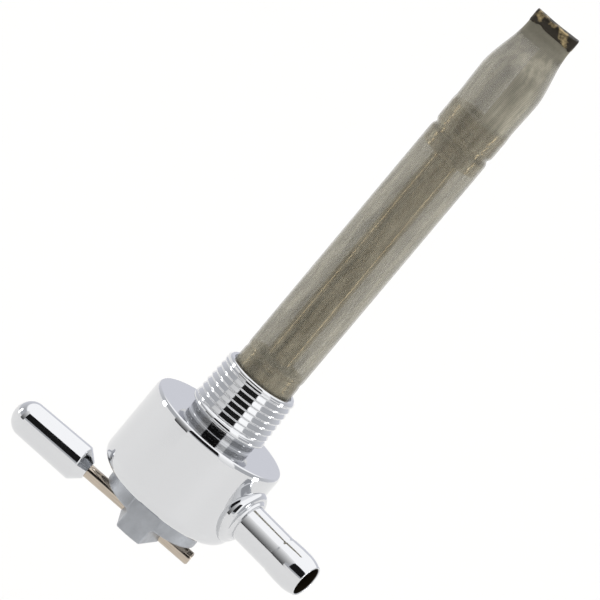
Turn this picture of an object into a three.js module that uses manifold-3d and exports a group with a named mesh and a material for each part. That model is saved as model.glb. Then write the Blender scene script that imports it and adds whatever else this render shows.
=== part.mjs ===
// Reserve fuel tap for a motorcycle tank. A turned body screws up into the tank on a tapered thread and
// carries a two-stage mesh filter, a side spout takes the fuel hose, and a rotor under the body is turned
// by a cross lever between main, reserve and off.
// Millimetres. +Z runs up the filter, +X along the hose spout, and the origin is the centre of the
// body's top face, where the thread starts.

import * as THREE from 'three';
import { mergeVertices } from 'three/addons/utils/BufferGeometryUtils.js';
import Module from 'manifold-3d';

// Fits: pieces pressed or seated together, and pieces that turn or slide.
const FIT = 0.05;
const RUN = 0.08;
const FACE_GAP = 0.3;

// Body
const BODY_RADIUS = 15.45;
const BODY_HEIGHT = 18.8;
const BODY_WALL = 3.15;
const BODY_TOP_EDGE = 0.6;
const BODY_FOOT_EDGE = 2.9;
const CAVITY_DEPTH = 4.8;

// Threaded spigot, a 3/8 inch taper pipe thread with 18 threads to the inch
const SPIGOT_HEIGHT = 13.55;
const THREAD_TOP_RADIUS = 8.25;
const THREAD_TAPER = 1 / 32;
const THREAD_PITCH = 1.411;
const THREAD_DEPTH = 0.95;
const THREAD_TURNS = 7;
const THREAD_CHAMFER = 0.55;
const THREAD_FOOT_RING = 1.0;
const SPIGOT_FLOOR_DEPTH = 3.0;
const COUNTERBORE_DEPTH = 0.9;

// Filter
const MESH_STEP = 1.5;
const MESH_WALL = 0.35;
const MESH_BULGE = 0.12;
const FILTER_TOP = 104.7;
const TIP_WIDTH = 10.1;
const TIP_DEPTH = 2.4;
const TIP_LENGTH = 2.9;
const TIP_TAPER = 12.0;
const TIP_TURN = 20;
const CLIP_HEIGHT = 2.3;
const CLIP_WALL = 0.25;
const LOWER_CRIMP_HEIGHT = 16.9;
const LOWER_CRIMP_DEPTH = 0.15;
const UPPER_CRIMP_DEPTH = 0.45;
const CRIMP_HALF_WIDTH = 0.9;
const FERRULE_TOP = 17.9;
const FERRULE_SHANK = 9.0;
const FERRULE_WALL = 1.15;
const BORE_LEDGE = 0.75;
const COLLAR_LENGTH = 10.05;
const COLLAR_TO_TIP = 23.35;
const COLLAR_CRIMP_RISE = 4.05;
const STANDPIPE_RADIUS = 3.0;
const STANDPIPE_WALL = 0.5;
const STANDPIPE_SEAT_DEPTH = 2.0;

// Hose spout
const OUTLET_RISE = 4.35;
const OUTLET_REACH = 34.15;
const SPOUT_RADIUS = 4.1;
const SPOUT_BORE_RADIUS = 3.25;
const SPOUT_NOSE = 0.7;
const BARB_RADIUS = 4.35;
const BARB_LENGTH = 8.0;
const BARB_STEP = 3.5;
const SHANK_RADIUS = 3.3;
const SHANK_BORE_RADIUS = 2.5;
const SHANK_LENGTH = 3.6;
const BOSS_RADIUS = 6.4;
const BOSS_EDGE = 1.5;
const BOSS_PROUD = 1.1;
const SOCKET_DEPTH = 2.55;

// Fuel passages and the seats they end in
const PORT_RADIUS = 4.7;
const PORT_DRILL_RADIUS = 1.25;
const PASSAGE_RADIUS = 2.2;
const SEAT_RADIUS = 2.3;
const SEAT_BORE_RADIUS = 1.25;
const SEAT_POCKET_DEPTH = 1.6;
const SEAT_LENGTH = 0.8;
const SEAT_RING_WIRE = 0.42;

// Rotor
const FLANGE_THICKNESS = 2.1;
const NECK_INSET = 2.3;
const DISC_INSET = 1.4;
const DISC_DROP = 3.45;
const DISC_SHADOW_GAP = 0.2;
const ROTOR_GROOVE_HALF_WIDTH = 1.3;
const ROTOR_GROOVE_DEPTH = 1.0;
const RING_GROOVE_DEPTH = 0.92;
const RING_WIRE = 0.42;
const RING_GROOVE_HALF_WIDTH = 0.55;
const BAR_DEPTH = 3.9;
const BAR_END_WIDTH = 5.8;
const BAR_MIDDLE_RADIUS = 4.8;
const THRUST_WASHER = 0.4;
const CIRCLIP_THICKNESS = 0.9;
const CIRCLIP_BITE = 0.8;
const CIRCLIP_BAND = 2.0;
const CIRCLIP_OPENING = 35;

// Detents and stop
const BALL_RADIUS = 1.0;
const DETENT_INSET = 2.3;
const DETENT_HOLE_DEPTH = 5.0;
const DETENT_TRACK_DEPTH = 0.4;
const DETENT_DIP = 0.3;
const DETENT_ANGLES = [45, 225];
const DETENT_STATIONS = [45, 135, 225, 315];
const SPRING_WIRE = 0.15;
const SPRING_TURNS = 4;
const STOP_INSET = 4.3;
const STOP_PIN_RADIUS = 0.75;
const STOP_PIN_BURIED = 3.0;
const STOP_PIN_PROUD = 1.5;
const TURN_EACH_WAY = 90;

// Lever
const LEVER_TURN = 16;
const LEVER_RADIUS = 1.5;
const LEVER_DROP = 2.1;
const LEVER_TAIL = 12.1;
const LEVER_CHAMFER = 0.3;
const LEVER_IN_KNOB = 6.0;
const KNOB_RADIUS = 4.1;
const KNOB_NOSE_RADIUS = 3.9;
const KNOB_START = 14.9;
const KNOB_LENGTH = 19.1;
const KNOB_NOSE = 3.6;
const KNOB_SHOULDER = 2.3;
const KNOB_COLLAR_RADIUS = 2.0;

// Facets round the main diameters, the small ones and the wire sections
const ROUND = 40;
const SMALL_ROUND = 20;
const WIRE_SIDES = 6;

// Places worked out from the sizes above
const MESH_RADIUS = THREAD_TOP_RADIUS - MESH_STEP;
const SPIGOT_BORE_RADIUS = MESH_RADIUS - BORE_LEDGE;
const MESH_SEAT = SPIGOT_HEIGHT - COUNTERBORE_DEPTH;
const COLLAR_TOP = FILTER_TOP - COLLAR_TO_TIP;
const COLLAR_BASE = COLLAR_TOP - COLLAR_LENGTH;
const UPPER_CRIMP_HEIGHT = COLLAR_BASE + COLLAR_CRIMP_RISE;
const STANDPIPE_TOP = COLLAR_TOP - 2;
const TIP_START = FILTER_TOP - TIP_LENGTH;
const TAPER_START = TIP_START - TIP_TAPER;
const CAVITY_RADIUS = BODY_RADIUS - BODY_WALL;
const ROOF = CAVITY_DEPTH - BODY_HEIGHT;
const OUTLET_Z = ROOF + OUTLET_RISE;
const SOCKET_FACE = BODY_RADIUS + BOSS_PROUD;
const SPOUT_START = SOCKET_FACE - SOCKET_DEPTH;
const SHANK_START = SPOUT_START - SHANK_LENGTH;
const FLANGE_TOP = ROOF - FACE_GAP;
const FLANGE_BOTTOM = FLANGE_TOP - FLANGE_THICKNESS;
const FLANGE_RADIUS = CAVITY_RADIUS - RUN;
const WASHER_TOP = FLANGE_BOTTOM - FIT;
const WASHER_BOTTOM = WASHER_TOP - THRUST_WASHER;
const CIRCLIP_TOP = WASHER_BOTTOM - FIT;
const CIRCLIP_BOTTOM = CIRCLIP_TOP - CIRCLIP_THICKNESS;
const CIRCLIP_RADIUS = CAVITY_RADIUS + CIRCLIP_BITE;
const NECK_RADIUS = CAVITY_RADIUS - NECK_INSET;
const DISC_RADIUS = CAVITY_RADIUS - DISC_INSET;
const DISC_TOP = -BODY_HEIGHT - DISC_SHADOW_GAP;
const DISC_BOTTOM = -BODY_HEIGHT - DISC_DROP;
const BAR_BOTTOM = DISC_BOTTOM - BAR_DEPTH;
const LEVER_Z = DISC_BOTTOM - LEVER_DROP;
const DETENT_RADIUS = CAVITY_RADIUS - DETENT_INSET;
const STOP_RADIUS = CAVITY_RADIUS - STOP_INSET;
const BALL_Z = FLANGE_TOP - DETENT_TRACK_DEPTH + BALL_RADIUS + RUN;
const DETENT_ROOF = ROOF + DETENT_HOLE_DEPTH;
const KNOB_END = KNOB_START + KNOB_LENGTH;
const PORTS = [
  { name: 'outlet', angle: 0 },
  { name: 'main', angle: 90 },
  { name: 'reserve', angle: -90 },
];

const wasm = await Module();
wasm.setup();

const radians = THREE.MathUtils.degToRad;

// ---- solids ----

// Six times the volume that a closed triangle list encloses; negative when its faces point inwards.
function signedVolume(points, corners) {
  const [a, b, c] = [new THREE.Vector3(), new THREE.Vector3(), new THREE.Vector3()];
  let sum = 0;
  for (let i = 0; i < corners.length; i += 3) {
    a.fromArray(points, corners[i] * 3);
    b.fromArray(points, corners[i + 1] * 3);
    c.fromArray(points, corners[i + 2] * 3);
    sum += a.dot(b.cross(c));
  }
  return sum;
}

// A closed three.js geometry as a solid that can be joined and cut.
function solid(geometry) {
  const shell = geometry.clone();
  shell.deleteAttribute('normal');
  shell.deleteAttribute('uv');
  const merged = mergeVertices(shell, 1e-4);
  const points = merged.attributes.position.array;
  const corners = [];
  for (let i = 0; i < merged.index.count; i += 3) {
    const [a, b, c] = merged.index.array.subarray(i, i + 3);
    if (a !== b && b !== c && c !== a) corners.push(a, b, c);
  }
  if (signedVolume(points, corners) < 0) corners.reverse();
  return new wasm.Manifold(
    new wasm.Mesh({ numProp: 3, vertProperties: points, triVerts: new Uint32Array(corners) }),
  );
}

// Revolves [radius, height] points about Z. The outline starts and ends on the axis, or closes on itself.
function turned(outline, sides = ROUND) {
  const points = outline.map(([radius, height]) => new THREE.Vector2(radius, height));
  return new THREE.LatheGeometry(points, sides).rotateX(Math.PI / 2);
}

// A ring or tube: the outline's last point joins its first.
const ring = (outline, sides) => turned([...outline, outline[0]], sides);

// Lays a piece that was turned about Z along +X at the given height.
const alongX = (geometry, height) => geometry.rotateY(Math.PI / 2).translate(0, 0, height);

// Points on a quarter round from one edge point to the next; its centre is at [cr, cz].
function quarter(cr, cz, radius, from, to, steps = 5) {
  return Array.from({ length: steps + 1 }, (_, i) => {
    const angle = radians(from + ((to - from) * i) / steps);
    return [cr + radius * Math.cos(angle), cz + radius * Math.sin(angle)];
  });
}

// A cylinder between two points.
function rod(radius, from, to, sides = SMALL_ROUND) {
  const start = new THREE.Vector3(...from);
  const along = new THREE.Vector3(...to).sub(start);
  const turn = new THREE.Quaternion().setFromUnitVectors(
    new THREE.Vector3(0, 1, 0),
    along.clone().normalize(),
  );
  return new THREE.CylinderGeometry(radius, radius, along.length(), sides)
    .applyQuaternion(turn)
    .translate(...start.add(along.multiplyScalar(0.5)));
}

// A slot that follows an arc about Z, with round ends, from one height to another.
function arcSlot(radius, halfWidth, from, to, bottom, top) {
  const [start, end] = [radians(from), radians(to)];
  const shape = new THREE.Shape();
  shape.absarc(0, 0, radius + halfWidth, start, end, false);
  const tip = [radius * Math.cos(end), radius * Math.sin(end)];
  shape.absarc(...tip, halfWidth, end, end + Math.PI, false);
  shape.absarc(0, 0, radius - halfWidth, end, start, true);
  const tail = [radius * Math.cos(start), radius * Math.sin(start)];
  shape.absarc(...tail, halfWidth, start + Math.PI, start + 2 * Math.PI, false);
  return new THREE.ExtrudeGeometry(shape, { depth: top - bottom, bevelEnabled: false, curveSegments: 8 })
    .translate(0, 0, bottom);
}

// A point at a radius and an angle about Z.
const polar = (radius, angle, height) => [
  radius * Math.cos(radians(angle)),
  radius * Math.sin(radians(angle)),
  height,
];

// ---- the named pieces ----

const tap = new THREE.Group();

function finish(color, roughness, metalness) {
  return new THREE.MeshStandardMaterial({ color, roughness, metalness });
}
const CHROME = finish(0xd4d6de, 0.08, 1);
const SATIN = finish(0xa6a8ae, 0.42, 1);
const NICKEL = finish(0x9c8c7c, 0.25, 1);
const BRASS = finish(0xb08d4a, 0.35, 1);
const MESH = finish(0x7d7a6c, 0.6, 0.6);
const STEEL = finish(0x8c8c90, 0.35, 1);
const PTFE = finish(0xf0efe8, 0.5, 0);
const RUBBER = finish(0x1c1c1e, 0.7, 0);

// Adds a solid to the tap, or to a group of it, as a named mesh.
function piece(name, shape, material, parent = tap) {
  const { vertProperties, triVerts } = (shape.isBufferGeometry ? solid(shape) : shape).getMesh();
  const geometry = new THREE.BufferGeometry();
  geometry.setAttribute('position', new THREE.BufferAttribute(vertProperties, 3));
  geometry.setIndex(new THREE.BufferAttribute(triVerts, 1));
  geometry.computeVertexNormals();
  const mesh = new THREE.Mesh(geometry, material);
  mesh.name = name;
  parent.add(mesh);
  return mesh;
}

// ---- body ----

const threadRadius = (height) => THREAD_TOP_RADIUS + (SPIGOT_HEIGHT - height) * THREAD_TAPER;

// The thread's ridges from the foot ring to the top chamfer, as rings of one pitch each.
function threadOutline() {
  const top = SPIGOT_HEIGHT - THREAD_CHAMFER;
  const foot = top - THREAD_TURNS * THREAD_PITCH;
  const ringFoot = foot - THREAD_FOOT_RING;
  const neck = threadRadius(foot) - THREAD_DEPTH;
  const outline = [
    [neck, 0],
    [neck, ringFoot],
    [threadRadius(ringFoot), ringFoot + THREAD_FOOT_RING * 0.3],
    [threadRadius(ringFoot), foot],
  ];
  for (let turn = 0; turn < THREAD_TURNS; turn++) {
    const height = foot + turn * THREAD_PITCH;
    const crest = threadRadius(height);
    outline.push(
      [crest - THREAD_DEPTH, height + THREAD_PITCH * 0.45],
      [crest, height + THREAD_PITCH * 0.9],
      [crest, height + THREAD_PITCH],
    );
  }
  outline.push([threadRadius(SPIGOT_HEIGHT) - THREAD_CHAMFER, SPIGOT_HEIGHT]);
  return outline;
}

function bodyBlank() {
  const foot = BODY_RADIUS - BODY_FOOT_EDGE;
  const brow = BODY_RADIUS - BODY_TOP_EDGE;
  const barrel = turned([
    [0, -BODY_HEIGHT],
    ...quarter(foot, BODY_FOOT_EDGE - BODY_HEIGHT, BODY_FOOT_EDGE, -90, 0),
    ...quarter(brow, -BODY_TOP_EDGE, BODY_TOP_EDGE, 0, 90, 3),
    ...threadOutline(),
    [0, SPIGOT_HEIGHT],
  ]);
  const boss = turned([
    [0, SHANK_START - 2],
    [BOSS_RADIUS, SHANK_START - 2],
    ...quarter(BOSS_RADIUS - BOSS_EDGE, SOCKET_FACE - BOSS_EDGE, BOSS_EDGE, 0, 90),
    [0, SOCKET_FACE],
  ]);
  return solid(barrel).add(solid(alongX(boss, OUTLET_Z)));
}

// Cuts each geometry in turn from a solid.
const cut = (from, cutters) => cutters.reduce((left, cutter) => left.subtract(solid(cutter)), from);

const SEAT_POCKET_TOP = ROOF + SEAT_POCKET_DEPTH;
const PIPE_SEAT = -SPIGOT_FLOOR_DEPTH - STANDPIPE_SEAT_DEPTH;

function bodyCuts() {
  const tankSide = turned([
    [0, -SPIGOT_FLOOR_DEPTH],
    [SPIGOT_BORE_RADIUS, -SPIGOT_FLOOR_DEPTH],
    [SPIGOT_BORE_RADIUS, MESH_SEAT],
    [MESH_RADIUS + FACE_GAP, MESH_SEAT],
    [MESH_RADIUS + FACE_GAP, SPIGOT_HEIGHT + 1],
    [0, SPIGOT_HEIGHT + 1],
  ]);
  const rotorSide = turned([
    [0, -BODY_HEIGHT - 1],
    [CAVITY_RADIUS, -BODY_HEIGHT - 1],
    [CAVITY_RADIUS, CIRCLIP_BOTTOM - FIT],
    [CIRCLIP_RADIUS, CIRCLIP_BOTTOM - FIT],
    [CIRCLIP_RADIUS, CIRCLIP_TOP + FIT],
    [CAVITY_RADIUS, CIRCLIP_TOP + FIT],
    [CAVITY_RADIUS, ROOF],
    [0, ROOF],
  ]);
  const socket = turned([
    [0, SHANK_START - FIT],
    [SHANK_RADIUS + FIT, SHANK_START - FIT],
    [SHANK_RADIUS + FIT, SPOUT_START - FIT],
    [SPOUT_RADIUS + FIT, SPOUT_START - FIT],
    [SPOUT_RADIUS + FIT, SOCKET_FACE + 1],
    [0, SOCKET_FACE + 1],
  ]);
  const pipePocket = rod(STANDPIPE_RADIUS + FIT, [0, 0, PIPE_SEAT], [0, 0, 0]);
  const seatPockets = PORTS.map(({ angle }) =>
    rod(SEAT_RADIUS + FIT, polar(PORT_RADIUS, angle, ROOF - 1), polar(PORT_RADIUS, angle, SEAT_POCKET_TOP)),
  );
  const passageStart = PORT_RADIUS - PASSAGE_RADIUS;
  const drillings = [
    rod(PORT_DRILL_RADIUS, polar(PORT_RADIUS, 0, ROOF), polar(PORT_RADIUS, 0, OUTLET_Z)),
    rod(PASSAGE_RADIUS, [passageStart, 0, OUTLET_Z], [SHANK_START, 0, OUTLET_Z]),
    rod(PORT_DRILL_RADIUS, polar(PORT_RADIUS, 90, ROOF), polar(STANDPIPE_RADIUS / 2, 90, PIPE_SEAT + 0.5)),
    rod(PORT_DRILL_RADIUS, polar(PORT_RADIUS, -90, ROOF), polar(PORT_RADIUS, -90, 0.5 - SPIGOT_FLOOR_DEPTH)),
  ];
  const detentHoles = DETENT_ANGLES.map((angle) =>
    rod(BALL_RADIUS + RUN, polar(DETENT_RADIUS, angle, ROOF - 1), polar(DETENT_RADIUS, angle, DETENT_ROOF)),
  );
  const stopHole = rod(
    STOP_PIN_RADIUS + FIT,
    polar(STOP_RADIUS, 180, ROOF - 1),
    polar(STOP_RADIUS, 180, ROOF + STOP_PIN_BURIED + FIT),
  );
  return [
    tankSide,
    rotorSide,
    alongX(socket, OUTLET_Z),
    pipePocket,
    ...seatPockets,
    ...drillings,
    ...detentHoles,
    stopHole,
  ];
}

piece('valve_body', cut(bodyBlank(), bodyCuts()), CHROME);

// ---- hose spout ----

function spoutOutline() {
  const barbStart = OUTLET_REACH - BARB_LENGTH;
  return [
    [SHANK_BORE_RADIUS, SHANK_START],
    [SHANK_BORE_RADIUS, SPOUT_START],
    [SPOUT_BORE_RADIUS, SPOUT_START + 0.7],
    [SPOUT_BORE_RADIUS, OUTLET_REACH],
    ...quarter(BARB_RADIUS - SPOUT_NOSE, OUTLET_REACH - SPOUT_NOSE, SPOUT_NOSE, 90, 0, 4),
    [BARB_RADIUS, barbStart + BARB_STEP],
    [SPOUT_RADIUS, barbStart],
    [SPOUT_RADIUS, SPOUT_START],
    [SHANK_RADIUS, SPOUT_START],
    [SHANK_RADIUS, SHANK_START],
  ];
}

piece('outlet_spout', alongX(ring(spoutOutline(), 32), OUTLET_Z), CHROME);

// ---- port seats and the rings behind them ----

for (const { name, angle } of PORTS) {
  const seat = ring(
    [
      [SEAT_BORE_RADIUS, FLANGE_TOP + FIT],
      [SEAT_RADIUS, FLANGE_TOP + FIT],
      [SEAT_RADIUS, FLANGE_TOP + FIT + SEAT_LENGTH],
      [SEAT_BORE_RADIUS, FLANGE_TOP + FIT + SEAT_LENGTH],
    ],
    SMALL_ROUND,
  );
  piece(name + '_port_seat', seat, PTFE).position.set(...polar(PORT_RADIUS, angle, 0));
  const ringRadius = SEAT_RADIUS - SEAT_RING_WIRE;
  const seal = new THREE.TorusGeometry(ringRadius, SEAT_RING_WIRE, WIRE_SIDES, SMALL_ROUND);
  const sealHeight = FLANGE_TOP + 2 * FIT + SEAT_LENGTH + SEAT_RING_WIRE;
  piece(name + '_seat_o_ring', seal, RUBBER).position.set(...polar(PORT_RADIUS, angle, sealHeight));
}

// ---- handle: rotor, lever and knob turn together ----

const RING_GROOVE_FLOOR = FLANGE_RADIUS - RING_GROOVE_DEPTH;
const RING_GROOVE_Z = FLANGE_TOP - FLANGE_THICKNESS / 2;

// The cross bar's plan: a round middle that tapers to its two ends, long side along Y.
function barPlan() {
  const half = BAR_END_WIDTH / 2;
  const reach = DISC_RADIUS + 1;
  const cornerDistance = Math.hypot(half, DISC_RADIUS);
  const toCorner = Math.atan2(DISC_RADIUS, half);
  const tangent = toCorner - Math.acos(BAR_MIDDLE_RADIUS / cornerDistance);
  const shape = new THREE.Shape();
  shape.moveTo(half, -reach);
  shape.lineTo(half, -DISC_RADIUS);
  shape.absarc(0, 0, BAR_MIDDLE_RADIUS, -tangent, tangent, false);
  shape.lineTo(half, DISC_RADIUS);
  shape.lineTo(half, reach);
  shape.lineTo(-half, reach);
  shape.lineTo(-half, DISC_RADIUS);
  shape.absarc(0, 0, BAR_MIDDLE_RADIUS, Math.PI - tangent, Math.PI + tangent, false);
  shape.lineTo(-half, -DISC_RADIUS);
  shape.lineTo(-half, -reach);
  return shape;
}

function rotorBlank() {
  const barrel = turned([
    [0, DISC_BOTTOM],
    [DISC_RADIUS, DISC_BOTTOM],
    [DISC_RADIUS, DISC_TOP],
    [NECK_RADIUS, DISC_TOP],
    [NECK_RADIUS, FLANGE_BOTTOM],
    [FLANGE_RADIUS, FLANGE_BOTTOM],
    [FLANGE_RADIUS, RING_GROOVE_Z - RING_GROOVE_HALF_WIDTH],
    [RING_GROOVE_FLOOR, RING_GROOVE_Z - RING_GROOVE_HALF_WIDTH],
    [RING_GROOVE_FLOOR, RING_GROOVE_Z + RING_GROOVE_HALF_WIDTH],
    [FLANGE_RADIUS, RING_GROOVE_Z + RING_GROOVE_HALF_WIDTH],
    [FLANGE_RADIUS, FLANGE_TOP],
    [0, FLANGE_TOP],
  ]);
  const overlap = 0.5;
  const bar = new THREE.ExtrudeGeometry(barPlan(), {
    depth: BAR_DEPTH + overlap,
    bevelEnabled: false,
    curveSegments: 8,
  })
    .translate(0, 0, BAR_BOTTOM)
    .rotateZ(radians(LEVER_TURN));
  const rim = rod(DISC_RADIUS, [0, 0, BAR_BOTTOM - 1], [0, 0, DISC_BOTTOM + overlap], ROUND);
  return solid(barrel).add(solid(bar).intersect(solid(rim)));
}

// A round-bottomed dip in the rotor's top face that a detent ball drops into.
function dimple(angle) {
  return new THREE.SphereGeometry(BALL_RADIUS + RUN, 12, 8).translate(
    ...polar(DETENT_RADIUS, angle, BALL_Z - DETENT_DIP),
  );
}

function rotorCuts() {
  const fuelGroove = arcSlot(
    PORT_RADIUS,
    ROTOR_GROOVE_HALF_WIDTH,
    0,
    TURN_EACH_WAY,
    FLANGE_TOP - ROTOR_GROOVE_DEPTH,
    FLANGE_TOP + 1,
  );
  const stopSlot = arcSlot(
    STOP_RADIUS,
    STOP_PIN_RADIUS + RUN,
    180 - TURN_EACH_WAY,
    180 + TURN_EACH_WAY,
    ROOF - STOP_PIN_PROUD - FIT,
    FLANGE_TOP + 1,
  );
  const track = ring([
    [DETENT_RADIUS - BALL_RADIUS, FLANGE_TOP - DETENT_TRACK_DEPTH],
    [DETENT_RADIUS + BALL_RADIUS, FLANGE_TOP - DETENT_TRACK_DEPTH],
    [DETENT_RADIUS + BALL_RADIUS, FLANGE_TOP + 1],
    [DETENT_RADIUS - BALL_RADIUS, FLANGE_TOP + 1],
  ]);
  const reach = DISC_RADIUS + 1;
  const leverHole = rod(LEVER_RADIUS + FIT, [-reach, 0, LEVER_Z], [reach, 0, LEVER_Z])
    .rotateZ(radians(LEVER_TURN));
  return [fuelGroove, stopSlot, track, ...DETENT_STATIONS.map(dimple), leverHole];
}

piece('handle_rotor', cut(rotorBlank(), rotorCuts()), SATIN);

const rotorSeal = new THREE.TorusGeometry(RING_GROOVE_FLOOR + FIT + RING_WIRE, RING_WIRE, WIRE_SIDES, ROUND);
piece('rotor_o_ring', rotorSeal, RUBBER).position.z = RING_GROOVE_Z;

const lever = new THREE.Group();
lever.position.z = LEVER_Z;
lever.rotation.z = radians(LEVER_TURN);
tap.add(lever);

function leverPin() {
  const inner = -KNOB_START - LEVER_IN_KNOB;
  return turned(
    [
      [0, inner],
      [LEVER_RADIUS, inner],
      [LEVER_RADIUS, LEVER_TAIL - LEVER_CHAMFER],
      [LEVER_RADIUS - LEVER_CHAMFER, LEVER_TAIL],
      [0, LEVER_TAIL],
    ],
    SMALL_ROUND,
  );
}

// A bullet-shaped knob that widens a little to its bevelled inner end, where a blind hole takes the pin.
function leverKnob() {
  const nose = Array.from({ length: 8 }, (_, i) => {
    const angle = radians((90 * (i + 1)) / 8);
    return [KNOB_NOSE_RADIUS * Math.sin(angle), -KNOB_END + KNOB_NOSE * (1 - Math.cos(angle))];
  });
  const shoulder = [0, 0.15, 0.6, 1].map((share) => [
    KNOB_RADIUS - (KNOB_RADIUS - KNOB_COLLAR_RADIUS) * share * (0.6 + 0.4 * share),
    -KNOB_START - KNOB_SHOULDER * (1 - share),
  ]);
  const hole = LEVER_RADIUS + FIT;
  const holeFloor = -KNOB_START - LEVER_IN_KNOB - FIT;
  return turned(
    [[0, -KNOB_END], ...nose, ...shoulder, [hole, -KNOB_START], [hole, holeFloor], [0, holeFloor]],
    32,
  );
}

piece('lever_pin', alongX(leverPin(), 0), NICKEL, lever);
piece('lever_knob', alongX(leverKnob(), 0), CHROME, lever);

// ---- what keeps the rotor in the body ----

const washer = ring([
  [NECK_RADIUS + FACE_GAP, WASHER_BOTTOM],
  [CAVITY_RADIUS - FIT, WASHER_BOTTOM],
  [CAVITY_RADIUS - FIT, WASHER_TOP],
  [NECK_RADIUS + FACE_GAP, WASHER_TOP],
]);
piece('thrust_washer', washer, STEEL);

// A snap ring with an opening, so that it can be squeezed into its groove.
function circlip() {
  const half = radians(CIRCLIP_OPENING / 2);
  const outer = CIRCLIP_RADIUS - 2 * FIT;
  const shape = new THREE.Shape();
  shape.absarc(0, 0, outer, half, 2 * Math.PI - half, false);
  shape.absarc(0, 0, outer - CIRCLIP_BAND, 2 * Math.PI - half, half, true);
  const settings = { depth: CIRCLIP_THICKNESS, bevelEnabled: false, curveSegments: 28 };
  return new THREE.ExtrudeGeometry(shape, settings).translate(0, 0, CIRCLIP_BOTTOM);
}
piece('retaining_ring', circlip(), STEEL);

// ---- detents and stop ----

class Coil extends THREE.Curve {
  constructor(radius, bottom, top, turns) {
    super();
    Object.assign(this, { radius, bottom, top, turns });
  }
  getPoint(t, target = new THREE.Vector3()) {
    const angle = 2 * Math.PI * this.turns * t;
    const height = THREE.MathUtils.lerp(this.bottom, this.top, t);
    return target.set(this.radius * Math.cos(angle), this.radius * Math.sin(angle), height);
  }
}

// A round wire wound on the ball's top, up to the roof of its hole.
function detentSpring() {
  const radius = BALL_RADIUS - SPRING_WIRE - FIT;
  const reach = BALL_RADIUS + SPRING_WIRE + RUN;
  const bottom = BALL_Z + Math.sqrt(reach * reach - radius * radius);
  const path = new Coil(radius, bottom, DETENT_ROOF - SPRING_WIRE - FIT, SPRING_TURNS);
  const wire = new THREE.Shape().absarc(0, 0, SPRING_WIRE, 0, 2 * Math.PI, false);
  const steps = Math.round(SPRING_TURNS * 10);
  return new THREE.ExtrudeGeometry(wire, { steps, extrudePath: path, curveSegments: 3, bevelEnabled: false });
}

DETENT_ANGLES.forEach((angle, i) => {
  const place = polar(DETENT_RADIUS, angle, 0);
  const ball = piece('detent_ball_' + (i + 1), new THREE.SphereGeometry(BALL_RADIUS, 12, 8), STEEL);
  ball.position.set(place[0], place[1], BALL_Z);
  piece('detent_spring_' + (i + 1), detentSpring(), STEEL).position.set(...place);
});

const stopPin = rod(
  STOP_PIN_RADIUS,
  polar(STOP_RADIUS, 180, ROOF - STOP_PIN_PROUD),
  polar(STOP_RADIUS, 180, ROOF + STOP_PIN_BURIED),
);
piece('stop_pin', stopPin, STEEL);

// ---- filter ----

// How far a crimp draws the mesh in at a height: a rounded groove about its centre.
function crimp(height, centre, depth) {
  const share = Math.min(1, Math.abs(height - centre) / CRIMP_HALF_WIDTH);
  return depth * (1 - share * share);
}

function meshRadius(height) {
  const swell = Math.sin(Math.PI * THREE.MathUtils.smoothstep(height, COLLAR_TOP, TIP_START));
  return (
    MESH_RADIUS +
    MESH_BULGE * swell -
    crimp(height, LOWER_CRIMP_HEIGHT, LOWER_CRIMP_DEPTH) -
    crimp(height, UPPER_CRIMP_HEIGHT, UPPER_CRIMP_DEPTH)
  );
}

// The mesh sleeve is turned as a round bag and its top is then pressed flat, its wall kept even.
function filterSleeve() {
  const crimpSteps = [-1, -0.5, 0, 0.5, 1];
  const taperSteps = Array.from({ length: 8 }, (_, i) => TAPER_START + (TIP_TAPER * i) / 7);
  const heights = [
    MESH_SEAT + FIT,
    ...crimpSteps.map((step) => LOWER_CRIMP_HEIGHT + step * CRIMP_HALF_WIDTH),
    ...crimpSteps.map((step) => UPPER_CRIMP_HEIGHT + step * CRIMP_HALF_WIDTH),
    COLLAR_TOP + FACE_GAP,
    ...taperSteps,
  ];
  const bagTop = FILTER_TOP - CLIP_HEIGHT;
  const outer = [...heights, FILTER_TOP].map((height) => [meshRadius(height), height]);
  const inner = [...heights, bagTop].map((height) => [meshRadius(height) - MESH_WALL, height]);
  const bag = turned([[0, bagTop], ...inner.reverse(), ...outer, [0, FILTER_TOP]]);
  const at = bag.attributes.position;
  for (let i = 0; i < at.count; i++) {
    const [x, y, z] = [at.getX(i), at.getY(i), at.getZ(i)];
    const radius = Math.hypot(x, y);
    if (radius < MESH_WALL) continue;
    const full = meshRadius(z);
    const flat = THREE.MathUtils.smoothstep(z, TAPER_START, TIP_START);
    const inset = full - radius;
    const halfWidth = THREE.MathUtils.lerp(full, TIP_WIDTH / 2, flat) - inset;
    const halfDepth = THREE.MathUtils.lerp(full, TIP_DEPTH / 2, flat) - inset;
    at.setXY(i, (halfWidth * x) / radius, (halfDepth * y) / radius);
  }
  return bag.rotateZ(radians(TIP_TURN));
}

piece('filter_mesh', filterSleeve(), MESH);

// A brass strip folded over the flattened end of the mesh.
function tipClip() {
  const slotHalf = TIP_DEPTH / 2 + FIT;
  const height = CLIP_HEIGHT + FIT + CLIP_WALL;
  const bottom = FILTER_TOP - CLIP_HEIGHT;
  const block = new THREE.BoxGeometry(TIP_WIDTH + 2 * FIT, 2 * (slotHalf + CLIP_WALL), height)
    .translate(0, 0, bottom + height / 2);
  const slot = new THREE.BoxGeometry(TIP_WIDTH + 2, 2 * slotHalf, CLIP_HEIGHT + FIT + 1)
    .translate(0, 0, bottom - 1 + (CLIP_HEIGHT + FIT + 1) / 2);
  return solid(block).subtract(solid(slot));
}
piece('filter_tip_clip', tipClip(), BRASS).rotation.z = radians(TIP_TURN);

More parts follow.
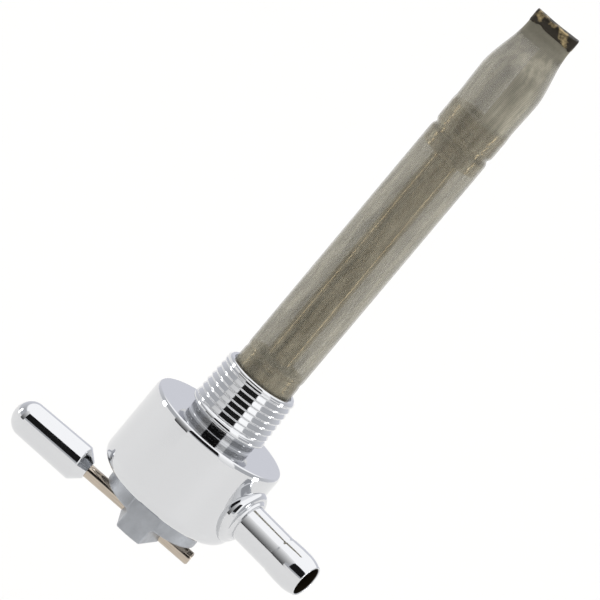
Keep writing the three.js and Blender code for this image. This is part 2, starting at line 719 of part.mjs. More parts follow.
// Points of a brass sleeve's outside that follow the mesh's crimp, bottom to top.
function crimpedSleeve(bottom, top, centre) {
  const steps = [-1, -0.5, 0, 0.5, 1].map((step) => centre + step * CRIMP_HALF_WIDTH);
  const inside = steps.filter((height) => height > bottom && height < top);
  return [bottom, ...inside, top].map((height) => [meshRadius(height) - MESH_WALL - FIT, height]);
}

// The lower ferrule is pressed into the spigot and the mesh is crimped over its head.
const ferruleBore = SPIGOT_BORE_RADIUS - FERRULE_WALL;
const ferrule = ring([
  [ferruleBore, MESH_SEAT - FERRULE_SHANK],
  [SPIGOT_BORE_RADIUS - FIT, MESH_SEAT - FERRULE_SHANK],
  [SPIGOT_BORE_RADIUS - FIT, MESH_SEAT + FIT],
  ...crimpedSleeve(MESH_SEAT + FIT, FERRULE_TOP, LOWER_CRIMP_HEIGHT),
  [ferruleBore, FERRULE_TOP],
]);
piece('filter_ferrule', ferrule, BRASS);

// The standpipe takes the main supply from above the collar, which parts the two filter stages.
const standpipe = ring(
  [
    [STANDPIPE_RADIUS - STANDPIPE_WALL, PIPE_SEAT + FIT],
    [STANDPIPE_RADIUS, PIPE_SEAT + FIT],
    [STANDPIPE_RADIUS, STANDPIPE_TOP],
    [STANDPIPE_RADIUS - STANDPIPE_WALL, STANDPIPE_TOP],
  ],
  SMALL_ROUND,
);
piece('standpipe', standpipe, BRASS);

const collar = ring([
  [STANDPIPE_RADIUS + FIT, COLLAR_BASE],
  ...crimpedSleeve(COLLAR_BASE, COLLAR_TOP, UPPER_CRIMP_HEIGHT),
  [STANDPIPE_RADIUS + FIT, COLLAR_TOP],
]);
piece('standpipe_collar', collar, BRASS);

export default tap;
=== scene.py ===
"""Reserve fuel tap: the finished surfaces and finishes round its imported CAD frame."""

import math

import bpy
import numpy as np
from bpy.props import FloatProperty, FloatVectorProperty, PointerProperty
from mathutils import Matrix, Vector


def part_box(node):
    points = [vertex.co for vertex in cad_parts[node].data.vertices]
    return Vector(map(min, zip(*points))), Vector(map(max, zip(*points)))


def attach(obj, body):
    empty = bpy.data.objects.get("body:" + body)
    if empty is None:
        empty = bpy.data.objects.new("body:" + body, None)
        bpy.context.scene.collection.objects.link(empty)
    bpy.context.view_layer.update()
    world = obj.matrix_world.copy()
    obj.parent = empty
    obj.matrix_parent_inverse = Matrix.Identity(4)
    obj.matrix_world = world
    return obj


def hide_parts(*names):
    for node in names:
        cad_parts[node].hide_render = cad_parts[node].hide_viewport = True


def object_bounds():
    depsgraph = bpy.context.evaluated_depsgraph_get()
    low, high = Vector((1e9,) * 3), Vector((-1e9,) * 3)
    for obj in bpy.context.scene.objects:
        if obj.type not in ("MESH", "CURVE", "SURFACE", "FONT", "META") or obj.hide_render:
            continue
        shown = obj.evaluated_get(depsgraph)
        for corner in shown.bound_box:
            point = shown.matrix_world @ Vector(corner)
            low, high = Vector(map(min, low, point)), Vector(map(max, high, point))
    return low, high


bl_info = {
    "name": "Reserve fuel tap",
    "version": (1, 0, 0),
    "blender": (4, 5, 0),
    "location": "3D View > Sidebar > Fuel tap",
    "description": "Builds the surfaces, finishes and studio of a reserve fuel tap",
    "category": "Add Mesh",
}

MM = 0.001
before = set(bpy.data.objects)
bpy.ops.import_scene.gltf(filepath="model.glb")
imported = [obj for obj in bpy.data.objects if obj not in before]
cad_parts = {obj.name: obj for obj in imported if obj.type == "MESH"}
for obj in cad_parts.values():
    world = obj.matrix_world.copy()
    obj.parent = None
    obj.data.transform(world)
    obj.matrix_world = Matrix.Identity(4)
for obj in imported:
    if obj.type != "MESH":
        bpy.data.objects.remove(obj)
CAD_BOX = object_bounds()


def corner(node, which):
    """Lowest (0) or highest (1) corner of a CAD node, in metres."""
    return np.array(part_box(node)[which])


# Where the CAD pieces stand, in metres. Z is the tap's axis and X the spout's.
BODY_RADIUS = corner("valve_body", 1)[1]
SPIGOT_TOP = corner("valve_body", 1)[2]
BODY_FOOT = corner("valve_body", 0)[2]
BOSS_FACE = corner("valve_body", 1)[0]
SPOUT_LOW, SPOUT_HIGH = corner("outlet_spout", 0), corner("outlet_spout", 1)
SPOUT_Z = (SPOUT_LOW[2] + SPOUT_HIGH[2]) / 2
BARB_RADIUS = (SPOUT_HIGH[1] - SPOUT_LOW[1]) / 2
ROTOR_FOOT = corner("handle_rotor", 0)[2]
FLANGE_RADIUS = corner("handle_rotor", 1)[1]
FLANGE_TOP = corner("handle_rotor", 1)[2]
LEVER_RADIUS = (corner("lever_pin", 1)[2] - corner("lever_pin", 0)[2]) / 2
LEVER_Z = (corner("lever_pin", 1)[2] + corner("lever_pin", 0)[2]) / 2
KNOB_RADIUS = (corner("lever_knob", 1)[2] - corner("lever_knob", 0)[2]) / 2
MESH_FOOT = corner("filter_mesh", 0)[2]
MESH_TOP = corner("filter_mesh", 1)[2]
CLIP_FOOT, CLIP_TOP = corner("filter_tip_clip", 0)[2], corner("filter_tip_clip", 1)[2]
FERRULE_FOOT, FERRULE_TOP = corner("filter_ferrule", 0)[2], corner("filter_ferrule", 1)[2]
COLLAR_FOOT, COLLAR_TOP = corner("standpipe_collar", 0)[2], corner("standpipe_collar", 1)[2]
PIPE_FOOT, PIPE_TOP = corner("standpipe", 0)[2], corner("standpipe", 1)[2]
PIPE_RADIUS = corner("standpipe", 1)[0]
LOWEST = CAD_BOX[0][2]

# Radius that the pipe thread gains per height towards the body: 1 in 16 on its width
THREAD_TAPER = 1 / 32
# Length over which the spout's barb swells
BARB_SWELL = 3.5 * MM
# Depth of the knob's blind hole, and how far the rod goes into it
KNOB_HOLE = 6.0 * MM
ROD_IN_KNOB = 5.9 * MM
# Heights of the gauze's two crimps, over the ferrule and over the collar
LOWER_CRIMP = 16.9 * MM
UPPER_CRIMP = COLLAR_FOOT + 4.05 * MM
# Where the gauze's lapped seam stands, as an angle from the tip's wide side
SEAM = -np.pi / 2

# Columns round the large, middle and small turned pieces
ROUND = 224
MIDDLE_ROUND = 128
SMALL_ROUND = 64


def linear(code):
    """An sRGB hex colour such as "d8dae2" as linear red, green and blue."""
    shares = [int(code[i : i + 2], 16) / 255 for i in (0, 2, 4)]
    return [s / 12.92 if s <= 0.04045 else ((s + 0.055) / 1.055) ** 2.4 for s in shares]


def length(name, description, millimetres, low=0.01):
    """A length property in metres, its default given in millimetres."""
    return FloatProperty(
        name=name,
        description=description,
        default=millimetres * MM,
        min=low * MM,
        unit="LENGTH",
        subtype="DISTANCE",
        precision=5,
    )


def angle_between(name, description, degrees):
    """An angle property, its default given in degrees."""
    return FloatProperty(
        name=name, description=description, default=math.radians(degrees), subtype="ANGLE"
    )


def colour(name, description, code):
    """A colour property, its default given as an sRGB hex value."""
    return FloatVectorProperty(
        name=name, description=description, subtype="COLOR", size=3, min=0, max=1, default=linear(code)
    )


class BodySizes(bpy.types.PropertyGroup):
    """Sizes of the turned body and its threaded spigot."""

    top_edge: length("Top edge", "Height of the barrel's buffed top edge", 1.3)
    top_inset: length("Top inset", "How far the buffed top edge draws the top face in", 0.5)
    foot_edge: length("Foot edge", "Radius of the barrel's bottom edge", 2.9)
    crest_radius: length("Crest radius", "Radius over the thread's crests at the top", 8.25)
    thread_pitch: length("Thread pitch", "Height of one turn of the thread", 1.411)
    thread_depth: length("Thread depth", "Height of the thread from root to crest", 0.4)
    flank_share: FloatProperty(
        name="Flank share",
        description="Share of a turn taken by the flank that faces the filter",
        default=0.76,
    )
    neck_inset: length("Neck inset", "How far the neck stands inside the plain ring", 1.05)
    thread_length: length("Thread length", "Height of the threaded stretch", 9.88)
    chamfer: length("Chamfer", "Lead-in chamfer at the spigot's top", 0.55)
    foot_ring: length("Foot ring", "Height of the plain ring under the thread", 1.0)
    bore_radius: length("Bore", "Radius of the spigot's bore", 6.0)
    cavity_radius: length("Cavity", "Radius of the rotor's cavity", 12.3)
    boss_radius: length("Boss", "Radius of the bead round the spout", 6.4)


class SpoutSizes(bpy.types.PropertyGroup):
    """Sizes of the hose spout."""

    tube_radius: length("Tube radius", "Outer radius of the plain tube", 4.1)
    bore_radius: length("Bore radius", "Radius of the open mouth", 3.25)
    barb_length: length("Barb length", "Length of the swollen end", 8.0)
    nose: length("Nose", "Length over which the barb rounds off to the open end", 3.2)


class RotorSizes(bpy.types.PropertyGroup):
    """Sizes of the rotor's disc and its cross bar."""

    disc_inset: length("Disc inset", "How far the disc stands inside the cavity's wall", 1.4)
    disc_drop: length("Disc drop", "How far the disc hangs under the body", 3.45)
    bar_end: length("Bar end", "Width of the cross bar at its ends", 5.8)
    bar_middle: length("Bar middle", "Radius of the cross bar's middle", 4.8)
    fillet: length("Fillet", "Fillet between the bar and the disc", 0.7)
    edge: length("Edge", "Rounding of the cast edges", 0.35)


class LeverSizes(bpy.types.PropertyGroup):
    """Sizes of the lever rod and its knob."""

    turn: angle_between("Turn", "Angle from the spout to the lever's tail", 16)
    tail: length("Tail", "How far the rod's short end stands from the axis", 12.1)
    knob_start: length("Knob start", "Distance from the axis to the knob", 14.9)
    knob_length: length("Knob length", "Length of the knob", 19.1)
    nose_radius: length("Nose radius", "Radius of the knob where its domed end starts", 3.9)
    knob_nose: length("Knob nose", "Length of the knob's domed end", 3.6)
    knob_shoulder: length("Knob shoulder", "Length of the knob's bevelled inner end", 2.3)


class FilterSizes(bpy.types.PropertyGroup):
    """Sizes of the gauze sleeve and its brass fittings."""

    sleeve_radius: length("Sleeve radius", "Outer radius of the gauze sleeve", 6.75)
    wall: length("Wall", "Thickness of the gauze", 0.3)
    wire_pitch: length("Wire pitch", "Distance between the wires of the gauze", 0.3)
    tip_width: length("Tip width", "Width of the flattened tip", 10.1)
    tip_depth: length("Tip depth", "Thickness of the flattened tip", 2.4)
    tip_turn: angle_between("Tip turn", "Angle from the spout to the tip's wide side", 20)
    lap: length("Lap", "How far the lapped seam stands proud", 0.4)


class Finishes(bpy.types.PropertyGroup):
    """Colours of the finishes."""

    chrome: colour("Chrome", "Chrome plate", "d8d9db")
    satin: colour("Satin nickel", "Bead-blasted nickel plate", "adb0b5")
    rod: colour("Drawn rod", "Bright drawn nickel silver", "c9bdae")
    gauze: colour("Gauze", "Woven stainless wire", "b3ae9d")
    brass: colour("Brass", "Turned brass", "b3a07a")
    # The solder colour is also the painted shade inside the spout's bore.
    solder_and_bore_shade: colour("Solder", "Dark brazed band", "2c261c")
    ptfe: colour("PTFE", "White seat plastic", "efede6")
    rubber: colour("Nitrile", "Black o-ring rubber", "1b1b1d")
    steel: colour("Steel", "Ground steel", "8d8f94")
    floor: colour("Floor", "Pale studio floor", "f9f8f5")


def sizes(group):
    """The scene's property group of that name."""
    return getattr(bpy.context.scene, "fuel_tap_" + group)


# ---- surfaces ----


def outline(*corners, steps=6):
    """A path of (radius, height[, rounding]) corners, in metres: each rounding is an arc tangent to both
    sides, with a support point just beyond each of its ends so that flats stay flat when shaded."""
    points = []
    for i, (r, z, *rounding) in enumerate(corners):
        here = np.array([r, z])
        if not rounding:
            points.append(here)
            continue
        before = np.array(corners[i - 1][:2]) - here
        after = np.array(corners[i + 1][:2]) - here
        far = min(np.hypot(*before), np.hypot(*after))
        before, after = before / np.hypot(*before), after / np.hypot(*after)
        half = math.acos(np.clip(before @ after, -1, 1)) / 2
        radius = min(rounding[0], 0.95 * far * math.tan(half))
        reach = radius / math.tan(half)
        centre = here + (before + after) / np.hypot(*(before + after)) * radius / math.sin(half)
        start, end = here + before * reach - centre, here + after * reach - centre
        first = math.atan2(start[1], start[0])
        sweep = (math.atan2(end[1], end[0]) - first + math.pi) % (2 * math.pi) - math.pi
        angles = first + sweep * np.linspace(0, 1, steps + 1)
        arc = centre + radius * np.stack([np.cos(angles), np.sin(angles)], 1)
        support = min(0.06 * MM, far - reach) * 0.8
        points += [here + before * (reach + support), *arc, here + after * (reach + support)]
    return np.array(points)


def shell(name, rows, poles=(), loop=False):
    """A closed mesh from rows of points (row, column, xyz) whose columns go all the way round.
    Each row joins the next; loop joins the last row to the first, and otherwise the two pole points close
    the ends with fans. The UV map holds the columns' share of a turn and the rows' distance in metres."""
    count, around = rows.shape[:2]
    index = np.arange(count * around).reshape(count, around)
    low = index if loop else index[:-1]
    high = np.roll(index, -1, axis=0)[: len(low)]
    quads = np.stack([low, np.roll(low, -1, 1), np.roll(high, -1, 1), high], -1).reshape(-1, 4)
    steps = np.linalg.norm(np.roll(rows, -1, axis=0) - rows, axis=-1).mean(1)
    along = np.concatenate([[0], np.cumsum(steps)])
    turn = np.arange(around + 1) / around
    left, right = turn[:-1], turn[1:]
    u = np.stack([left, right, right, left], -1)[None].repeat(len(low), 0)
    v = np.stack([along[: len(low)]] * 2 + [along[1 : len(low) + 1]] * 2, -1)[:, None].repeat(around, 1)
    uv = np.stack([u, v], -1).reshape(-1, 2)
    points, faces = rows.reshape(-1, 3), quads.tolist()
    for pole, row in zip(poles, (0, -1)):
        edge = index[row]
        fan = [np.full(around, len(points)), np.roll(edge, -1), edge]
        fan = np.stack(fan if row == 0 else fan[::-1], -1)
        level = along[0] if row == 0 else along[count - 1]
        points = np.vstack([points, np.reshape(pole, (1, 3))])
        faces += fan.tolist()
        middle = (left + right) / 2
        fan_u = np.stack([middle, right, left] if row == 0 else [left, right, middle], -1)
        uv = np.vstack([uv, np.stack([fan_u, np.full_like(fan_u, level)], -1).reshape(-1, 2)])
    mesh = bpy.data.meshes.new(name)
    mesh.from_pydata(points.tolist(), [], faces)
    layer = mesh.uv_layers.new(name="UVMap")
    layer.data.foreach_set("uv", uv.astype(np.float32).ravel())
    if enclosed(points, faces) < 0:
        mesh.flip_normals()
    mesh.shade_smooth()
    piece = bpy.data.objects.new(name, mesh)
    bpy.context.scene.collection.objects.link(piece)
    return piece


def enclosed(points, faces):
    """Signed volume of a closed face list: the sum of the tetrahedra from the origin to each triangle."""
    tris = [(f[0], f[i], f[i + 1]) for f in faces for i in range(1, len(f) - 1)]
    a, b, c = (points[np.array(tris)[:, i]] for i in range(3))
    return np.einsum("ij,ij->i", a, np.cross(b, c)).sum() / 6


def turned(name, path, around, axis="Z", height=0.0, turn=0.0):
    """Revolves a path of (radius, place) about Z, or about a horizontal axis at an angle to +X at a height.
    A path that starts and ends on the axis is closed by poles; any other closes on itself."""
    angle = 2 * np.pi * np.arange(around) / around
    on_axis = path[0, 0] < 1e-9
    body = path[1:-1] if on_axis else path
    rows = laid(circles(body[:, :1], body[:, 1:], angle), axis, height, turn)
    poles = np.array([(0, 0, path[0, 1]), (0, 0, path[-1, 1])] if on_axis else [])
    return shell(name, rows, laid(poles, axis, height, turn), not on_axis)


def circles(radius, height, angle):
    """Rows of points at a radius and a height, one for every angle: (r cos a, r sin a, height)."""
    x, y = radius * np.cos(angle), radius * np.sin(angle)
    return np.stack([x, y, np.broadcast_to(height, x.shape)], -1)


def swung(x, y, turn):
    """Both coordinates turned about Z by an angle."""
    c, s = math.cos(turn), math.sin(turn)
    return x * c - y * s, x * s + y * c


def laid(points, axis, height, turn):
    """Points as they are, or swung down so that Z becomes the horizontal direction at the angle turn."""
    if axis == "Z" or not len(points):
        return points
    x, y, z = points[..., 0], points[..., 1], points[..., 2]
    c, s = math.cos(turn), math.sin(turn)
    return np.stack([z * c - y * s, z * s + y * c, height - x], -1)


def placed(piece, body, slot_name, material, *nodes):
    """Gives a piece its finish and its body, and hides the CAD nodes that it stands for."""
    piece.data.materials.append(material)
    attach(piece, body)
    if nodes:
        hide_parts(*nodes)
    return piece


# ---- finishes ----


def add(tree, kind, values=None, links=None, **settings):
    """Adds a node with its settings, its unlinked inputs and the sockets that feed its other inputs."""
    made = tree.nodes.new(kind)
    for key, value in settings.items():
        setattr(made, key, value)
    for key, value in (values or {}).items():
        made.inputs[key].default_value = value
    for key, socket in (links or {}).items():
        tree.links.new(socket, made.inputs[key])
    return made


def surface(name, values):
    """A material with one Principled shader, and its tree, shader and Object coordinates."""
    material = bpy.data.materials.get(name) or bpy.data.materials.new(name)
    material.use_nodes = True
    tree = material.node_tree
    tree.nodes.clear()
    shader = add(tree, "ShaderNodeBsdfPrincipled", values)
    add(tree, "ShaderNodeOutputMaterial", links={"Surface": shader.outputs[0]})
    place = add(tree, "ShaderNodeTexCoord").outputs["Object"]
    return material, tree, shader, place


def grain(tree, place, size, detail=2.0, stretch=(1, 1, 1)):
    """Noise whose cells measure size metres, drawn out along an axis by stretch: its factor, 0 to 1."""
    scaled = add(tree, "ShaderNodeMapping", {"Scale": [1 / (size * s) for s in stretch]}, {"Vector": place})
    noise = add(tree, "ShaderNodeTexNoise", {"Scale": 1.0, "Detail": detail}, {"Vector": scaled.outputs[0]})
    return noise.outputs[0]


def mapped(tree, value, start, end, low=0.0, high=1.0):
    """Maps a socket's values from start…end to low…high, and holds them there beyond both."""
    limits = {"From Min": start, "From Max": end, "To Min": low, "To Max": high}
    return add(tree, "ShaderNodeMapRange", limits, {"Value": value}).outputs[0]


def spread(tree, factor, low=0.0, high=1.0):
    """Maps a noise factor's middle range to low…high."""
    return mapped(tree, factor, 0.3, 0.7, low, high)


def maths(tree, operation, *sockets, **settings):
    """The result of a Math node that these sockets feed."""
    links = dict(enumerate(sockets))
    return add(tree, "ShaderNodeMath", links=links, operation=operation, **settings).outputs[0]


def part(tree, vector, which):
    """The X (0), Y (1) or Z (2) of a vector socket."""
    return add(tree, "ShaderNodeSeparateXYZ", links={0: vector}).outputs[which]


def relief(tree, shader, height, depth, strength=1.0):
    """Gives the shader a bump whose height factor stands for depth metres."""
    bump = add(tree, "ShaderNodeBump", {"Strength": strength, "Distance": depth}, {"Height": height})
    tree.links.new(bump.outputs[0], shader.inputs["Normal"])


def mixed(tree, factor, first, second):
    """Mixes two colours, each a plain one or a socket, by a factor socket."""
    mix = add(tree, "ShaderNodeMix", data_type="RGBA")
    tree.links.new(factor, mix.inputs[0])
    for slot, tone in ((6, first), (7, second)):
        if isinstance(tone, bpy.types.NodeSocket):
            tree.links.new(tone, mix.inputs[slot])
        else:
            mix.inputs[slot].default_value = (*tone, 1)
    return mix.outputs[2]


def coloured(tree, shader, factor, first, second):
    """Gives the shader a colour that a factor socket shifts from first to second."""
    tree.links.new(mixed(tree, factor, first, second), shader.inputs["Base Color"])


def roughened(tree, shader, factor, low, high):
    """Gives the shader a roughness that a noise factor shifts from low to high."""
    tree.links.new(spread(tree, factor, low, high), shader.inputs["Roughness"])


def darker(tone, share):
    """A colour with each of its parts reduced to that share."""
    return [c * share for c in tone]


def polished_chrome(name):
    """Decorative chrome over polished nickel: neutral, with the slow ripple that hand polishing leaves."""
    base = sizes("finishes").chrome
    material, tree, shader, place = surface(name, {"Metallic": 1.0, "Base Color": (*base, 1)})
    relief(tree, shader, grain(tree, place, 2.2 * MM, 1.0), 0.004 * MM, 0.5)
    return material, tree, shader, place


def chrome_plate():
    """The chrome of the body and the knob: mirror bright with a few softer spots."""
    material, tree, shader, place = polished_chrome("chrome_plate")
    roughened(tree, shader, grain(tree, place, 3 * MM), 0.035, 0.075)
    return material


def spout_plate(spout):
    """The same chrome outside the spout. Plating doesn't reach into its bore, so everything nearer the
    spout's axis than the bore's wall is dull, and its colour is painted near-black as painted shade for the
    inside of the tube."""
    finishes = sizes("finishes")
    material, tree, shader, place = polished_chrome("spout_plate")
    centred = {"Location": (0, 0, -SPOUT_Z), "Scale": (0, 1, 1)}
    across = add(tree, "ShaderNodeMapping", centred, {"Vector": place}).outputs[0]
    away = add(tree, "ShaderNodeVectorMath", links={0: across}, operation="LENGTH").outputs["Value"]
    outside_bore_shade = mapped(tree, away, spout.bore_radius + 0.02 * MM, spout.bore_radius + 0.1 * MM)
    # Inside the bore the dark solder colour is painted shade for the inside of the tube.
    coloured(tree, shader, outside_bore_shade, finishes.solder_and_bore_shade, finishes.chrome)
    bare_roughness, chrome_roughness = 0.55, 0.045
    dull = mapped(tree, outside_bore_shade, 0, 1, bare_roughness, chrome_roughness)
    tree.links.new(dull, shader.inputs["Roughness"])
    return material


def satin_nickel():
    """Nickel plate over a bead-blasted casting: an even grey satin with a grain of about 0.15 mm."""
    base = sizes("finishes").satin
    material, tree, shader, place = surface("satin_nickel", {"Metallic": 1.0})
    coloured(tree, shader, spread(tree, grain(tree, place, 2.5 * MM)), darker(base, 0.86), base)
    roughened(tree, shader, grain(tree, place, 0.6 * MM), 0.36, 0.5)
    relief(tree, shader, grain(tree, place, 0.15 * MM, 3.0), 0.012 * MM, 0.35)
    return material


def drawn_rod():
    """Bright drawn nickel-silver rod: warm, with fine draw lines along its length."""
    base = sizes("finishes").rod
    material, tree, shader, place = surface("drawn_rod", {"Metallic": 1.0})
    turn = -sizes("lever").turn
    along = add(tree, "ShaderNodeMapping", {"Rotation": (0, 0, turn)}, {"Vector": place}).outputs[0]
    lines = grain(tree, along, 0.12 * MM, 2.0, (40, 1, 1))
    coloured(tree, shader, spread(tree, lines), darker(base, 0.72), base)
    roughened(tree, shader, lines, 0.08, 0.16)
    relief(tree, shader, lines, 0.004 * MM, 0.4)
    return material


def turned_brass():
    """Plain turned brass: tool rings about the tap's axis, dulled by a thin brown tarnish in patches."""
    base = sizes("finishes").brass
    material, tree, shader, place = surface("turned_brass", {"Metallic": 1.0})
    rings = grain(tree, place, 0.18 * MM, 1.0, (60, 60, 1))
    tarnish = [c * s for c, s in zip(base, (0.55, 0.5, 0.42))]
    coloured(tree, shader, spread(tree, grain(tree, place, 1.6 * MM, 4.0)), tarnish, base)
    roughened(tree, shader, rings, 0.05, 0.12)
    relief(tree, shader, rings, 0.002 * MM, 0.3)
    return material


def woven_gauze():
    """Plain-woven stainless gauze: warp and weft wires crossing over and under, with see-through holes. The
    UV map gives the place round and along the sleeve, so the wires follow its shape. The cloth is denser
    where its edges lap in the bag, and pressed shut at the tip, where its colour is painted darker as
    painted shade for the pressed layers that let no light through. The sheen stands for the sides of the
    wires, which light up where the cloth is seen edge on."""
    gauze = sizes("filter")
    base = sizes("finishes").gauze
    sheen = {"Sheen Weight": 0.9, "Sheen Roughness": 0.35, "Sheen Tint": (0.9, 0.89, 0.84, 1)}
    material, tree, shader, place = surface("woven_gauze", {"Metallic": 1.0, **sheen})
    uv = add(tree, "ShaderNodeUVMap", uv_map="UVMap").outputs[0]
    height = part(tree, place, 2)
    wires_round = round(2 * math.pi * gauze.sleeve_radius / gauze.wire_pitch)
    wires = {"Scale": (wires_round * math.pi, math.pi / gauze.wire_pitch, 1)}
    counted = add(tree, "ShaderNodeMapping", wires, {"Vector": uv}).outputs[0]
    waves = [maths(tree, "ABSOLUTE", maths(tree, "SINE", part(tree, counted, i))) for i in (0, 1)]
    weave = maths(tree, "MINIMUM", *waves)
    wire_alpha, hole_alpha, lap_alpha = 0.68, 0.22, 0.4
    single = mapped(tree, weave, 0.25, 0.75, wire_alpha, hole_alpha)
    lapped = mapped(tree, part(tree, uv, 0), 0.12, 0.17, 1.0, 0.0)
    in_bag = mapped(tree, height, COLLAR_TOP - 0.5 * MM, COLLAR_TOP + MM, 0.0, lap_alpha)
    pressed = mapped(tree, height, MESH_TOP - 7 * MM, MESH_TOP - 4.5 * MM)
    cloth = maths(tree, "ADD", single, maths(tree, "MULTIPLY", lapped, in_bag))
    tree.links.new(maths(tree, "MAXIMUM", cloth, pressed), shader.inputs["Alpha"])
    # Here shade is only a random mottle of the wire's tone. Subtracting pressed paints the tip darker:
    # painted shade for the pressed layers that let no light through.
    shade = spread(tree, grain(tree, place, 1.2 * MM, 3.0, (1, 1, 6)))
    mottle_and_tip_shade = maths(tree, "SUBTRACT", shade, pressed, use_clamp=True)
    coloured(tree, shader, mottle_and_tip_shade, darker(base, 0.6), base)
    roughened(tree, shader, grain(tree, place, 0.5 * MM), 0.52, 0.64)
    relief(tree, shader, weave, -0.05 * MM, 0.25)
    return material


def brazed_band():
    """Brazing on the gauze's pinched end: near-black flux and oxide with brass showing in patches."""
    finishes = sizes("finishes")
    material, tree, shader, place = surface("brazed_band", {})
    bare = grain(tree, place, 2.2 * MM, 3.0)
    shown = mapped(tree, bare, 0.55, 0.66)
    coloured(tree, shader, shown, finishes.solder_and_bore_shade, finishes.brass)
    roughened(tree, shader, grain(tree, place, 0.4 * MM), 0.3, 0.6)
    tree.links.new(mapped(tree, shown, 0, 1, 0.5, 1.0), shader.inputs["Metallic"])
    relief(tree, shader, grain(tree, place, 0.5 * MM, 4.0), 0.08 * MM, 0.8)
    return material


def ground_steel():
    """Ground steel: grey, with fine crossing scratches."""
    base = sizes("finishes").steel
    material, tree, shader, place = surface("ground_steel", {"Metallic": 1.0})
    lines = grain(tree, place, 0.1 * MM, 2.0, (12, 1, 1))
    coloured(tree, shader, spread(tree, lines), darker(base, 0.8), base)
    roughened(tree, shader, lines, 0.25, 0.4)
    return material


def moulded_ptfe():
    """Moulded PTFE: white, waxy and slightly translucent."""
    base = sizes("finishes").ptfe
    values = {"IOR": 1.35, "Subsurface Weight": 0.2, "Subsurface Radius": (MM, MM, MM)}
    material, tree, shader, place = surface("moulded_ptfe", values)
    coloured(tree, shader, spread(tree, grain(tree, place, 0.8 * MM)), darker(base, 0.94), base)
    roughened(tree, shader, grain(tree, place, 0.3 * MM), 0.4, 0.55)
    return material


def moulded_nitrile():
    """Moulded nitrile rubber: black, soft sheen, faint bloom."""
    base = sizes("finishes").rubber
    material, tree, shader, place = surface("moulded_nitrile", {"IOR": 1.52})
    bloom = [c * 1.8 + 0.01 for c in base]
    coloured(tree, shader, spread(tree, grain(tree, place, 0.7 * MM)), base, bloom)
    roughened(tree, shader, grain(tree, place, 0.25 * MM), 0.5, 0.7)
    return material


# ---- pieces ----


class TAP_OT_body(bpy.types.Operator):
    """Build the chromed body with its taper thread, bores and the bead round the spout"""

    bl_idname = "fuel_tap.body"
    bl_label = "Body"

    def execute(self, context):
        material = chrome_plate()
        placed(threaded_body(sizes("body")), "valve", "chrome_plate", material, "valve_body")
        placed(spout_bead(sizes("body"), sizes("spout")), "valve", "chrome_plate", material)
        return {"FINISHED"}


